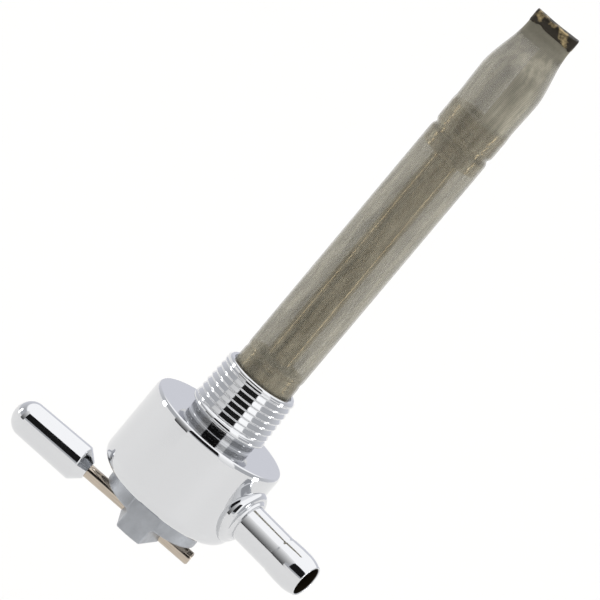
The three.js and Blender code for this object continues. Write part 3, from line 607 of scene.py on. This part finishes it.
def threaded_body(body):
    """The body as rows of radius by angle and height. Outside the thread each row is a circle. In the
    thread the radius is the tapering crest less the depth times a wave of (height / pitch − angle / turn),
    which winds one right-hand ridge round the spigot, faded out at both ends. The wave has a long gentle
    flank facing the filter and a short one facing the body, and its crest and its root are flattened."""
    foot = BODY_FOOT
    thread_top = SPIGOT_TOP - body.chamfer
    thread_foot = thread_top - body.thread_length
    ring_foot = thread_foot - body.foot_ring
    ring_radius = body.crest_radius + (SPIGOT_TOP - ring_foot) * THREAD_TAPER + 0.05 * MM
    neck = ring_radius - body.neck_inset
    mouth, mouth_depth = sizes("filter").sleeve_radius + 0.3 * MM, 0.9 * MM
    bore_floor = -3 * MM
    above_thread = outline(
        (0, bore_floor),
        (body.bore_radius, bore_floor),
        (body.bore_radius, SPIGOT_TOP - mouth_depth, 0.1 * MM),
        (mouth, SPIGOT_TOP - mouth_depth, 0.1 * MM),
        (mouth, SPIGOT_TOP, 0.12 * MM),
        (body.crest_radius - body.chamfer, SPIGOT_TOP, 0.12 * MM),
        (body.crest_radius, thread_top),
    )
    mark_depth, mark_half = 0.14 * MM, 0.16 * MM
    tool_marks = []
    for share in (0.25, 0.5, 0.75):
        middle = ring_foot * share
        tool_marks += [
            (neck, middle + mark_half, 0.05 * MM),
            (neck - mark_depth, middle),
            (neck, middle - mark_half, 0.05 * MM),
        ]
    shoulder = outline(
        (ring_radius, thread_foot),
        (ring_radius, ring_foot + 0.3 * MM, 0.15 * MM),
        (neck, ring_foot, 0.1 * MM),
        *tool_marks,
        (neck, 0, 0.1 * MM),
        (BODY_RADIUS - body.top_inset - 0.06 * MM, 0),
    )
    a = np.linspace(0, np.pi / 2, 20)
    brow = np.stack(
        [BODY_RADIUS - body.top_inset * (1 - np.sin(a)), -body.top_edge * (1 - np.cos(a))], 1
    )
    lip, clip_groove, cavity_depth = 0.75 * MM, body.cavity_radius + 0.8 * MM, 4.8 * MM
    below_brow = outline(
        (BODY_RADIUS, -body.top_edge - 0.06 * MM),
        (BODY_RADIUS, foot, body.foot_edge),
        (body.cavity_radius, foot, 0.2 * MM),
        (body.cavity_radius, foot + lip, 0.05 * MM),
        (clip_groove, foot + lip + 0.1 * MM, 0.05 * MM),
        (clip_groove, foot + lip + 1.1 * MM, 0.05 * MM),
        (body.cavity_radius, foot + lip + 1.2 * MM, 0.05 * MM),
        (body.cavity_radius, foot + cavity_depth, 0.1 * MM),
        (0, foot + cavity_depth),
        steps=12,
    )
    below_thread = np.concatenate([shoulder, brow, below_brow])
    rows_per_turn, flat_share = 22, 0.08
    count = round(body.thread_length / body.thread_pitch * rows_per_turn)
    height = np.linspace(thread_top, thread_foot, count)[1:-1, None]
    angle = 2 * np.pi * np.arange(ROUND) / ROUND
    crest = body.crest_radius + (SPIGOT_TOP - height) * THREAD_TAPER
    phase = (height / body.thread_pitch - angle / (2 * np.pi)) % 1
    groove = np.minimum(phase / body.flank_share, (1 - phase) / (1 - body.flank_share))
    wave = np.clip((groove - flat_share) / (1 - 2 * flat_share), 0, 1)
    half_turn = 0.5 * body.thread_pitch
    fade = np.clip((height - thread_foot) / half_turn, 0, 1)
    lead_in = np.clip((thread_top + 0.3 * MM - height) / half_turn, 0, 1)
    radius = crest - body.thread_depth * wave * np.minimum(fade, lead_in)
    spigot = circles(above_thread[1:, :1], above_thread[1:, 1:], angle)
    thread = circles(radius, height, angle)
    barrel = circles(below_thread[:-1, :1], below_thread[:-1, 1:], angle)
    poles = ((0, 0, above_thread[0, 1]), (0, 0, below_thread[-1, 1]))
    return shell("valve_body_plated", np.concatenate([spigot, thread, barrel]), poles)


def spout_bead(body, spout):
    """The bead of the boss round the spout, turned about the spout's axis: a full round shoulder that runs
    down to the tube with a small hollow, and starts inside the barrel's wall."""
    root = body.cavity_radius + 0.5 * MM
    path = outline(
        (spout.tube_radius - 0.2 * MM, root),
        (body.boss_radius, root),
        (body.boss_radius, BOSS_FACE - 0.35 * MM, 1.2 * MM),
        (spout.tube_radius + 0.9 * MM, BOSS_FACE - 0.1 * MM, 0.5 * MM),
        (spout.tube_radius + 0.45 * MM, BOSS_FACE + 0.5 * MM, 0.3 * MM),
        (spout.tube_radius - 0.2 * MM, BOSS_FACE + 0.5 * MM),
        steps=12,
    )
    return turned("spout_bead", path, MIDDLE_ROUND, "X", SPOUT_Z)


class TAP_OT_spout(bpy.types.Operator):
    """Build the chromed hose spout with its barb and open mouth"""

    bl_idname = "fuel_tap.spout"
    bl_label = "Hose spout"

    def execute(self, context):
        spout = sizes("spout")
        placed(hose_spout(spout), "valve", "chrome_plate", spout_plate(spout), "outlet_spout")
        return {"FINISHED"}


def hose_spout(spout):
    """A tube turned about the spout's axis: bore, rounded mouth, swollen barb, step and plain tube."""
    reach, start = SPOUT_HIGH[0], SPOUT_LOW[0]
    barb = reach - spout.barb_length
    nose_drop, rim_height = 0.6 * MM, 0.35 * MM
    shank, shank_bore = spout.tube_radius - 0.53 * MM, spout.bore_radius - 0.6 * MM
    step = start + 3.6 * MM
    inside = outline(
        (shank_bore, start),
        (shank_bore, step),
        (spout.bore_radius, step + 0.7 * MM),
        (spout.bore_radius, reach - 0.3 * MM),
    )
    share = np.linspace(1, 0, 28)
    nose_place = reach - rim_height - spout.nose * (1 - share)
    nose = np.stack([BARB_RADIUS - nose_drop * share**2.2, nose_place], 1)
    a = np.linspace(np.pi, 0, 10)[1:-1]
    middle = (nose[0, 0] + spout.bore_radius) / 2
    rim = np.stack([middle + (nose[0, 0] - middle) * np.cos(a), nose[0, 1] + rim_height * np.sin(a)], 1)
    place = np.linspace(barb + BARB_SWELL, barb, 24)
    swell = np.stack(
        [spout.tube_radius + (BARB_RADIUS - spout.tube_radius) * swelling(place, barb), place], 1
    )
    outside = outline(
        (spout.tube_radius, barb - 0.1 * MM),
        (spout.tube_radius, step, 0.1 * MM),
        (shank, step, 0.1 * MM),
        (shank, start, 0.1 * MM),
        (shank_bore, start),
    )
    path = np.concatenate([inside, rim, nose, swell, outside[:-1]])
    return turned("hose_spout", path, MIDDLE_ROUND, "X", SPOUT_Z)


def swelling(place, barb):
    """The barb's rise: a small quick step at its start and then a slow swell, as shares of the whole."""
    quick = smooth(place, barb, barb + 0.7 * MM)
    slow = smooth(place, barb, barb + BARB_SWELL)
    return 0.45 * quick + 0.55 * slow


class TAP_OT_rotor(bpy.types.Operator):
    """Build the satin rotor: flange, disc and the cross bar that holds the lever"""

    bl_idname = "fuel_tap.rotor"
    bl_label = "Rotor"

    def execute(self, context):
        rotor, body, material = sizes("rotor"), sizes("body"), satin_nickel()
        disc = body.cavity_radius - rotor.disc_inset
        placed(rotor_disc(rotor, body, disc), "handle", "satin_nickel", material, "handle_rotor")
        placed(rotor_bar(rotor, disc, sizes("lever").turn), "handle", "satin_nickel", material)
        return {"FINISHED"}


def rotor_disc(rotor, body, disc):
    """The rotor's flange, neck and disc, turned about Z, with the groove of its o-ring."""
    disc_top = BODY_FOOT - 0.2 * MM
    disc_foot = BODY_FOOT - rotor.disc_drop
    neck = body.cavity_radius - 2.3 * MM
    flange_foot = FLANGE_TOP - 2.1 * MM
    groove, groove_half = FLANGE_TOP - 1.05 * MM, 0.55 * MM
    groove_radius = FLANGE_RADIUS - 0.92 * MM
    path = outline(
        (0, disc_foot),
        (disc, disc_foot, rotor.edge),
        (disc, disc_top, 0.15 * MM),
        (neck, disc_top, 0.1 * MM),
        (neck, flange_foot, 0.1 * MM),
        (FLANGE_RADIUS, flange_foot, 0.1 * MM),
        (FLANGE_RADIUS, groove - groove_half, 0.05 * MM),
        (groove_radius, groove - groove_half, 0.05 * MM),
        (groove_radius, groove + groove_half, 0.05 * MM),
        (FLANGE_RADIUS, groove + groove_half, 0.05 * MM),
        (FLANGE_RADIUS, FLANGE_TOP, 0.1 * MM),
        (0, FLANGE_TOP),
    )
    return turned("rotor_disc", path, ROUND)


def bar_plan(rotor, disc, count=40):
    """The cross bar's outline, seen from above with its long side along Y: a round middle, straight flanks
    tangent to it, and ends that follow the disc's rim. Points run anticlockwise from -X."""
    half = rotor.bar_end / 2
    corner_angle = math.acos(half / disc)
    tangent = corner_angle - math.acos(rotor.bar_middle / disc)
    middle = np.linspace(-tangent, tangent, count)
    rim = np.linspace(corner_angle, math.pi - corner_angle, count)
    side = rotor.bar_middle * np.stack([np.cos(middle), np.sin(middle)], 1)
    end = disc * np.stack([np.cos(rim), np.sin(rim)], 1)
    flank = np.linspace(0.04, 0.97, count)[:, None]
    up = side[-1] + (end[0] - side[-1]) * flank
    down = up[::-1] * (-1, 1)
    quarter = np.concatenate([side, up, end[1:-1], down])
    return np.concatenate([quarter, -quarter])


def rotor_bar(rotor, disc, turn):
    """The cross bar as rows of its plan: each row is the plan moved along its own outward direction by a
    rounding at the foot and a fillet under the disc, never past the disc's rim."""
    plan = bar_plan(rotor, disc)
    ahead, behind = np.roll(plan, -1, 0), np.roll(plan, 1, 0)
    side = ahead - behind
    outward = np.stack([side[:, 1], -side[:, 0]], 1) / np.linalg.norm(side, axis=1)[:, None]
    disc_foot = BODY_FOOT - rotor.disc_drop
    a = np.linspace(0, np.pi / 2, 9)[:, None]
    edge, fillet = rotor.edge, rotor.fillet
    foot_rows = [edge * (np.sin(a) - 1), ROTOR_FOOT + edge * (1 - np.cos(a))]
    top_rows = [fillet * (1 - np.cos(a)), disc_foot - fillet * (1 - np.sin(a))]
    top = BODY_FOOT - 0.35 * MM
    inset = np.concatenate([foot_rows[0], top_rows[0], [[fillet], [fillet], [fillet - 0.1 * MM]]])
    height = np.concatenate([foot_rows[1], top_rows[1], [[disc_foot + 0.2 * MM], [top - 0.1 * MM], [top]]])
    flat = plan[None] + outward[None] * inset[:, :, None]
    distance = np.linalg.norm(flat, axis=-1, keepdims=True)
    rim = disc + 0.015 * MM
    flat = flat * np.minimum(1, rim / distance)
    flat = np.stack(swung(flat[..., 0], flat[..., 1], turn), -1)
    rows = np.concatenate([flat, np.broadcast_to(height[:, :, None], (*flat.shape[:2], 1))], -1)
    return shell("rotor_bar", rows, ((0, 0, ROTOR_FOOT), (0, 0, top)))


class TAP_OT_lever(bpy.types.Operator):
    """Build the lever rod and its bullet knob"""

    bl_idname = "fuel_tap.lever"
    bl_label = "Lever"

    def execute(self, context):
        lever = sizes("lever")
        placed(lever_rod(lever), "handle", "bright_nickel", drawn_rod(), "lever_pin")
        placed(bullet_knob(lever), "handle", "chrome_plate", chrome_plate(), "lever_knob")
        return {"FINISHED"}


def lever_rod(lever):
    """A plain rod turned about the lever's axis, its end in the knob rounded and its tail chamfered."""
    inner, chamfer = -lever.knob_start - ROD_IN_KNOB, 0.3 * MM
    path = outline(
        (0, inner),
        (LEVER_RADIUS, inner, 0.1 * MM),
        (LEVER_RADIUS, lever.tail - chamfer, 0.08 * MM),
        (LEVER_RADIUS - chamfer, lever.tail, 0.08 * MM),
        (0, lever.tail),
    )
    return turned("lever_rod", path, SMALL_ROUND, "X", LEVER_Z, lever.turn)


def bullet_knob(lever):
    """A bullet turned about the lever's axis: a half-ellipse nose, a flank that widens inwards, a bevelled
    inner end with a rounded brow, and a blind hole for the rod."""
    end = -lever.knob_start - lever.knob_length
    a = np.linspace(0, np.pi / 2, 28)
    nose = np.stack([lever.nose_radius * np.sin(a), end + lever.knob_nose * (1 - np.cos(a))], 1)
    collar, hole, inner = 2.0 * MM, LEVER_RADIUS + 0.03 * MM, -lever.knob_start
    rest = outline(
        (lever.nose_radius, end + lever.knob_nose),
        (KNOB_RADIUS, inner - lever.knob_shoulder, 1.0 * MM),
        (collar, inner, 0.15 * MM),
        (hole, inner, 0.05 * MM),
        (hole, inner - KNOB_HOLE),
        (0, inner - KNOB_HOLE),
        steps=10,
    )
    path = np.concatenate([nose, rest[1:]])
    return turned("bullet_knob", path, MIDDLE_ROUND, "X", LEVER_Z, lever.turn)


class TAP_OT_filter(bpy.types.Operator):
    """Build the gauze sleeve, pinched flat at its top, and the brazed band that closes it"""

    bl_idname = "fuel_tap.filter"
    bl_label = "Filter gauze"

    def execute(self, context):
        gauze = sizes("filter")
        placed(gauze_sleeve(gauze), "valve", "filter_gauze", woven_gauze(), "filter_mesh")
        placed(tip_band(gauze), "valve", "brass", brazed_band(), "filter_tip_clip")
        return {"FINISHED"}


def smooth(x, low, high):
    """0 below low, 1 above high and an S-curve between."""
    t = np.clip((x - low) / (high - low), 0, 1)
    return t * t * (3 - 2 * t)


def gauze_radius(height, gauze):
    """The sleeve's outer radius: even, drawn in at the two crimps and swelling a little in the bag."""
    crimps = ((LOWER_CRIMP, 0.15 * MM, 1.0 * MM), (UPPER_CRIMP, 0.45 * MM, 1.1 * MM))
    drawn = sum(depth * np.exp(-(((height - at) / width) ** 2) * 3) for at, depth, width in crimps)
    swell = 0.22 * MM * smooth(height, COLLAR_TOP, COLLAR_TOP + 9 * MM)
    ledge = 0.12 * MM * smooth(height, COLLAR_TOP - 0.4 * MM, COLLAR_TOP + 0.8 * MM)
    return gauze.sleeve_radius + swell - drawn - ledge


def gauze_point_rows(height, angle, inset, gauze):
    """Points of the sleeve at heights and angles, moved in by inset. The angle is measured from the tip's
    wide side. Above the bag the section goes from a circle to a flat with rounded sides. The lapped edge of
    the sheet stands proud on one side of the seam, which faces the tip's front."""
    taper_low, taper_high = MESH_TOP - 15 * MM, MESH_TOP - 3 * MM
    full = gauze_radius(height, gauze)
    flat = smooth(height, taper_low, taper_high)
    pinch = smooth(height, taper_low + 2.5 * MM, taper_high)
    half_width = full + (gauze.tip_width / 2 - full) * flat - inset
    half_depth = full + (gauze.tip_depth / 2 - full) * pinch - inset
    past = (SEAM - angle + np.pi) % (2 * np.pi) - np.pi
    lap_angle = 0.42
    sheet = np.where(past > 0, np.clip(1 - past / lap_angle, 0, 1), 0) * smooth(past, -0.01, 0.015)
    shown = smooth(height, COLLAR_TOP - 0.5 * MM, COLLAR_TOP + 1.5 * MM)
    shown = shown * (1 - smooth(height, MESH_TOP - 10 * MM, MESH_TOP - 7 * MM))
    proud = gauze.lap * sheet * shown
    x = (half_width + proud) * np.cos(angle)
    y = (half_depth + proud) * np.sin(angle)
    crease = 0.25 * MM * flat * (1 - flat) * 4
    y = y + crease * np.sin(angle) * np.cos(2 * angle)
    return np.stack([*swung(x, y, gauze.tip_turn), np.broadcast_to(height, x.shape)], -1)


def gauze_sleeve(gauze):
    """The sleeve as rows round and up: down inside, from under the band to the open foot, then up outside
    to the pinched top. The first column stands just past the seam."""
    angle = 2 * np.pi * np.arange(ROUND) / ROUND + SEAM + 0.005
    rise = np.concatenate(
        [
            np.linspace(MESH_FOOT, 22 * MM, 40, endpoint=False),
            np.linspace(22 * MM, COLLAR_FOOT, 24, endpoint=False),
            np.linspace(COLLAR_FOOT, COLLAR_TOP + 2 * MM, 44, endpoint=False),
            np.linspace(COLLAR_TOP + 2 * MM, MESH_TOP, 70),
        ]
    )[:, None]
    inside = rise[rise[:, 0] < CLIP_FOOT - 0.5 * MM][::-1]
    rows = np.concatenate(
        [
            gauze_point_rows(inside, angle, gauze.wall, gauze),
            gauze_point_rows(rise, angle, 0.0, gauze),
        ]
    )
    return shell("gauze_sleeve", rows, ((0, 0, inside[0, 0]), (0, 0, rise[-1, 0])))


def tip_band(gauze):
    """The brazed band: a flat ring of the tip's section, a little larger, closed over the top, with an
    uneven lower edge. Each level has its height, its inset and its share of both edges' unevenness."""
    angle = 2 * np.pi * np.arange(160) / 160
    half_width = gauze.tip_width / 2 + 0.08 * MM
    half_depth = gauze.tip_depth / 2 + 0.3 * MM
    section = 2 / 5
    x = half_width * np.sign(np.cos(angle)) * np.abs(np.cos(angle)) ** section
    y = half_depth * np.sign(np.sin(angle)) * np.abs(np.sin(angle)) ** section
    waves = np.sin(3 * angle + 0.6) + 0.6 * np.sin(7 * angle + 2.0) + 0.4 * np.sin(13 * angle)
    ragged = 0.18 * MM * waves
    from_foot = CLIP_FOOT + np.array([0.5, 0.0, 0.08, 0.2]) * MM
    from_top = CLIP_TOP - np.array([0.45, 0.15, 0.03, 0.0]) * MM
    levels = np.concatenate([from_foot, from_top])
    inset = np.array([0.3, 0.28, 0.08, 0.0, 0.0, 0.05, 0.16, 0.4]) * MM
    lower = np.array([0.0, 1.0, 1.0, 1.0, 0.1, 0.0, 0.0, 0.0])[:, None]
    top_wave = np.array([0.0, 0.0, 0.0, 0.0, 0.4, 1.0, 1.0, 1.0])[:, None] * 0.12 * MM
    x, y = x * (1 - inset / half_width)[:, None], y * (1 - inset / half_depth)[:, None]
    z = levels[:, None] + ragged * lower + top_wave * (np.sin(2 * angle + 1) - 1)
    rows = np.stack([*swung(x, y, gauze.tip_turn), z], -1)
    return shell("tip_band", rows, ((0, 0, levels[0]), (0, 0, levels[-1] - 0.1 * MM)))


class TAP_OT_fittings(bpy.types.Operator):
    """Build the brass ferrule, standpipe and collar inside the gauze"""

    bl_idname = "fuel_tap.fittings"
    bl_label = "Filter fittings"

    def execute(self, context):
        brass, gauze = turned_brass(), sizes("filter")
        placed(ferrule(gauze), "valve", "brass", brass, "filter_ferrule")
        placed(standpipe(), "valve", "brass", brass, "standpipe")
        placed(collar(gauze), "valve", "brass", brass, "standpipe_collar")
        return {"FINISHED"}


def fitting_radius(gauze):
    """Outer radius of the ferrule and the collar, which leaves a sliding fit inside the gauze."""
    return gauze.sleeve_radius - gauze.wall - 0.08 * MM


def ferrule(gauze):
    """The ferrule pressed into the spigot, turned about Z, with a shallow groove under the crimp."""
    outer = fitting_radius(gauze)
    groove_radius = outer - 0.2 * MM
    bore, shank = 4.9 * MM, 5.95 * MM
    seat = SPIGOT_TOP - 0.85 * MM
    path = outline(
        (bore, FERRULE_FOOT),
        (shank, FERRULE_FOOT, 0.2 * MM),
        (shank, seat, 0.05 * MM),
        (outer, seat, 0.1 * MM),
        (outer, LOWER_CRIMP - 1.0 * MM, 0.1 * MM),
        (groove_radius, LOWER_CRIMP - 0.5 * MM, 0.1 * MM),
        (groove_radius, LOWER_CRIMP + 0.3 * MM, 0.1 * MM),
        (outer, LOWER_CRIMP + 0.6 * MM, 0.1 * MM),
        (outer, FERRULE_TOP, 0.15 * MM),
        (bore, FERRULE_TOP, 0.1 * MM),
        (bore, FERRULE_FOOT),
    )
    return turned("filter_ferrule_brass", path[:-1], MIDDLE_ROUND)


def standpipe():
    """A plain tube turned about Z, both ends faced."""
    bore = PIPE_RADIUS - 0.5 * MM
    path = outline(
        (bore, PIPE_FOOT),
        (PIPE_RADIUS, PIPE_FOOT, 0.1 * MM),
        (PIPE_RADIUS, PIPE_TOP, 0.1 * MM),
        (bore, PIPE_TOP, 0.1 * MM),
        (bore, PIPE_FOOT),
    )
    return turned("standpipe_tube", path[:-1], SMALL_ROUND)


def collar(gauze):
    """The collar turned about Z: a deep groove under the crimp, between shallow ones. Each groove has its
    height over the crimp, its depth and half its width, in millimetres."""
    outer = fitting_radius(gauze)
    bore = PIPE_RADIUS + 0.03 * MM
    grooves = [(-2.6, 0.3, 0.35), (0.0, 0.75, 0.75), (2.0, 0.3, 0.35), (3.6, 0.3, 0.35)]
    corners = [(bore, COLLAR_FOOT), (outer, COLLAR_FOOT, 0.2 * MM)]
    for rise, depth, half in grooves:
        middle = UPPER_CRIMP + rise * MM
        inner = outer - depth * MM
        corners += [
            (outer, middle - (half + 0.2) * MM, 0.12 * MM),
            (inner, middle - half * MM, 0.12 * MM),
            (inner, middle + half * MM, 0.12 * MM),
            (outer, middle + (half + 0.2) * MM, 0.12 * MM),
        ]
    corners += [(outer, COLLAR_TOP, 0.2 * MM), (bore, COLLAR_TOP, 0.1 * MM), (bore, COLLAR_FOOT)]
    return turned("standpipe_collar_brass", outline(*corners)[:-1], MIDDLE_ROUND)


class TAP_OT_inner(bpy.types.Operator):
    """Give the pieces inside the body their finishes"""

    bl_idname = "fuel_tap.inner"
    bl_label = "Inner pieces"

    def execute(self, context):
        finishes = (
            (ground_steel(), ("thrust_washer", "retaining_ring", "stop_pin", "detent_")),
            (moulded_ptfe(), ("_port_seat",)),
            (moulded_nitrile(), ("_o_ring",)),
        )
        for node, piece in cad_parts.items():
            for material, words in finishes:
                if any(word in node for word in words):
                    piece.data.materials.clear()
                    piece.data.materials.append(material)
        return {"FINISHED"}


# ---- studio ----

# The camera looks down on the tap from this side, rolled so that the filter leans to the right.
VIEW_AZIMUTH = 20
VIEW_ELEVATION = 12.5
VIEW_ROLL = 39.9
VIEW_DISTANCE = 0.95
VIEW_LENS = 288
VIEW_RIGHT, VIEW_UP = -4.3 * MM, 29.6 * MM
FLOOR_Z = LOWEST - 70 * MM
FLOOR_HALF = 6


def view_axes():
    """The camera's directions before it is rolled: towards it, to its right and upwards."""
    a, e = math.radians(VIEW_AZIMUTH), math.radians(VIEW_ELEVATION)
    back = Vector((math.sin(a) * math.cos(e), -math.cos(a) * math.cos(e), math.sin(e)))
    right = Vector((math.cos(a), math.sin(a), 0))
    return back, right, back.cross(right)


class TAP_OT_stage(bpy.types.Operator):
    """Set up the camera, the pale floor and the soft studio light"""

    bl_idname = "fuel_tap.stage"
    bl_label = "Stage"

    def execute(self, context):
        camera()
        floor(sizes("finishes").floor)
        studio_sky()
        cards()
        context.scene.view_settings.view_transform = "Standard"
        return {"FINISHED"}


def camera():
    """A long lens at the viewing angle, rolled about its own axis."""
    back, right, up = view_axes()
    roll = math.radians(VIEW_ROLL)
    across = right * math.cos(roll) + up * math.sin(roll)
    upward = up * math.cos(roll) - right * math.sin(roll)
    data = bpy.data.cameras.new("camera")
    data.lens = VIEW_LENS
    data.sensor_width = 36
    data.clip_start, data.clip_end = 0.01, 20
    piece = bpy.data.objects.new("camera", data)
    turn = Matrix((across, upward, back)).transposed().to_4x4()
    target = right * VIEW_RIGHT + up * VIEW_UP
    piece.matrix_world = Matrix.Translation(target + back * VIEW_DISTANCE) @ turn
    bpy.context.scene.collection.objects.link(piece)
    bpy.context.scene.camera = piece


def flat_card(name, centre, across, upward, material):
    """A flat rectangle from its centre and its two half sides."""
    centre, across, upward = Vector(centre), Vector(across), Vector(upward)
    corners = [centre + across * i + upward * j for i, j in ((-1, -1), (1, -1), (1, 1), (-1, 1))]
    mesh = bpy.data.meshes.new(name)
    mesh.from_pydata([c[:] for c in corners], [], [(0, 1, 2, 3)])
    mesh.materials.append(material)
    piece = bpy.data.objects.new(name, mesh)
    bpy.context.scene.collection.objects.link(piece)
    return piece


def floor(base):
    """A wide matt floor below the tap."""
    material, tree, shader, place = surface("studio_floor", {"Base Color": (*base, 1)})
    roughened(tree, shader, grain(tree, place, 40 * MM), 0.75, 0.85)
    flat_card("studio_floor", (0, 0, FLOOR_Z), (FLOOR_HALF, 0, 0), (0, FLOOR_HALF, 0), material)


def studio_sky():
    """The room as the tap sees it: grey on the camera's side and at both flanks, lighter behind the tap,
    and white overhead, from 31 to 38 degrees up. The camera itself sees plain white."""
    world = bpy.data.worlds.new("studio_sky")
    bpy.context.scene.world = world
    world.use_nodes = True
    tree = world.node_tree
    tree.nodes.clear()
    direction = add(tree, "ShaderNodeTexCoord").outputs["Generated"]
    turn = {"Rotation": (0, 0, -math.radians(VIEW_AZIMUTH))}
    turned_round = add(tree, "ShaderNodeMapping", turn, {"Vector": direction}).outputs[0]
    behind = mapped(tree, part(tree, turned_round, 1), -1, 1)
    ramp = add(tree, "ShaderNodeValToRGB", links={0: behind})
    walls = ((0.5, (0.52, 0.53, 0.55, 1)), (0.75, (0.68, 0.69, 0.72, 1)), (0.95, (0.76, 0.77, 0.83, 1)))
    ramp.color_ramp.elements.new(1.0)
    for stop, (position, shade) in zip(ramp.color_ramp.elements, walls):
        stop.position = position
        stop.color = shade
    overhead = mapped(tree, part(tree, turned_round, 2), 0.52, 0.62)
    room = mixed(tree, overhead, ramp.outputs[0], (1.3, 1.3, 1.31))
    eye = add(tree, "ShaderNodeLightPath").outputs["Is Camera Ray"]
    seen = mixed(tree, eye, room, (1.1, 1.1, 1.1))
    glow = add(tree, "ShaderNodeBackground", {"Strength": 1.0}, {"Color": seen})
    add(tree, "ShaderNodeOutputWorld", links={"Surface": glow.outputs[0]})


def glowing(name, low, high, foot, top):
    """An emission material whose grey goes from low at the height foot to high at the height top, both
    heights in metres."""
    material = bpy.data.materials.new(name)
    material.use_nodes = True
    tree = material.node_tree
    tree.nodes.clear()
    place = add(tree, "ShaderNodeTexCoord").outputs["Object"]
    strength = mapped(tree, part(tree, place, 2), foot, top, low, high)
    light = add(tree, "ShaderNodeEmission", {"Color": (1, 1, 1, 1)}, {"Strength": strength})
    add(tree, "ShaderNodeOutputMaterial", links={"Surface": light.outputs[0]})
    return material


def cards():
    """A black flag in front of the tap, a lit strip on each side of it and a low bright card at each flank.
    They give the plating its dark bands and the tubes their bright lines, so only reflections show them.
    Each has its swing from the camera's side and its half-width in degrees, its distance, its lowest and
    highest point and its grey at both."""
    layout = (
        ("black_flag", -5.5, 27.5, 0.5, 0.049, 0.468, 0.012, 0.012),
        ("strip_left", -48, 14, 0.42, FLOOR_Z, 0.4, 0.03, 1.1),
        ("strip_right", 38, 14, 0.5, FLOOR_Z, 0.47, 0.9, 1.5),
        ("side_left", -95, 5, 0.3, -0.055, 0.05, 7.5, 7.5),
        ("side_right", 95, 5, 0.3, -0.055, 0.05, 7.5, 7.5),
    )
    for name, swing, half, distance, foot, top, low, high in layout:
        side = math.radians(VIEW_AZIMUTH + swing)
        out = Vector((math.sin(side), -math.cos(side), 0))
        across = Vector((math.cos(side), math.sin(side), 0)) * distance * math.tan(math.radians(half))
        upward = Vector((0, 0, (top - foot) / 2))
        middle = out * distance + Vector((0, 0, (top + foot) / 2))
        card = flat_card(name, middle, across, upward, glowing(name, low, high, foot, top))
        card.visible_camera = False
        card.visible_diffuse = False
        card.visible_shadow = False


class TAP_PT_panel(bpy.types.Panel):
    """Lists the tap's builders in the sidebar"""

    bl_label = "Reserve fuel tap"
    bl_idname = "TAP_PT_panel"
    bl_space_type = "VIEW_3D"
    bl_region_type = "UI"
    bl_category = "Fuel tap"

    def draw(self, context):
        for operator in OPERATORS:
            self.layout.operator(operator.bl_idname)


GROUPS = {
    "body": BodySizes,
    "spout": SpoutSizes,
    "rotor": RotorSizes,
    "lever": LeverSizes,
    "filter": FilterSizes,
    "finishes": Finishes,
}
OPERATORS = (
    TAP_OT_body,
    TAP_OT_spout,
    TAP_OT_rotor,
    TAP_OT_lever,
    TAP_OT_filter,
    TAP_OT_fittings,
    TAP_OT_inner,
    TAP_OT_stage,
)


def register():
    for kind in (*GROUPS.values(), *OPERATORS, TAP_PT_panel):
        bpy.utils.register_class(kind)
    for name, group in GROUPS.items():
        setattr(bpy.types.Scene, "fuel_tap_" + name, PointerProperty(type=group))


def unregister():
    for name in GROUPS:
        delattr(bpy.types.Scene, "fuel_tap_" + name)
    for kind in reversed((*GROUPS.values(), *OPERATORS, TAP_PT_panel)):
        bpy.utils.unregister_class(kind)


def main():
    register()
    for operator in OPERATORS:
        group, name = operator.bl_idname.split(".")
        getattr(getattr(bpy.ops, group), name)()


if __name__ == "__main__":
    main()
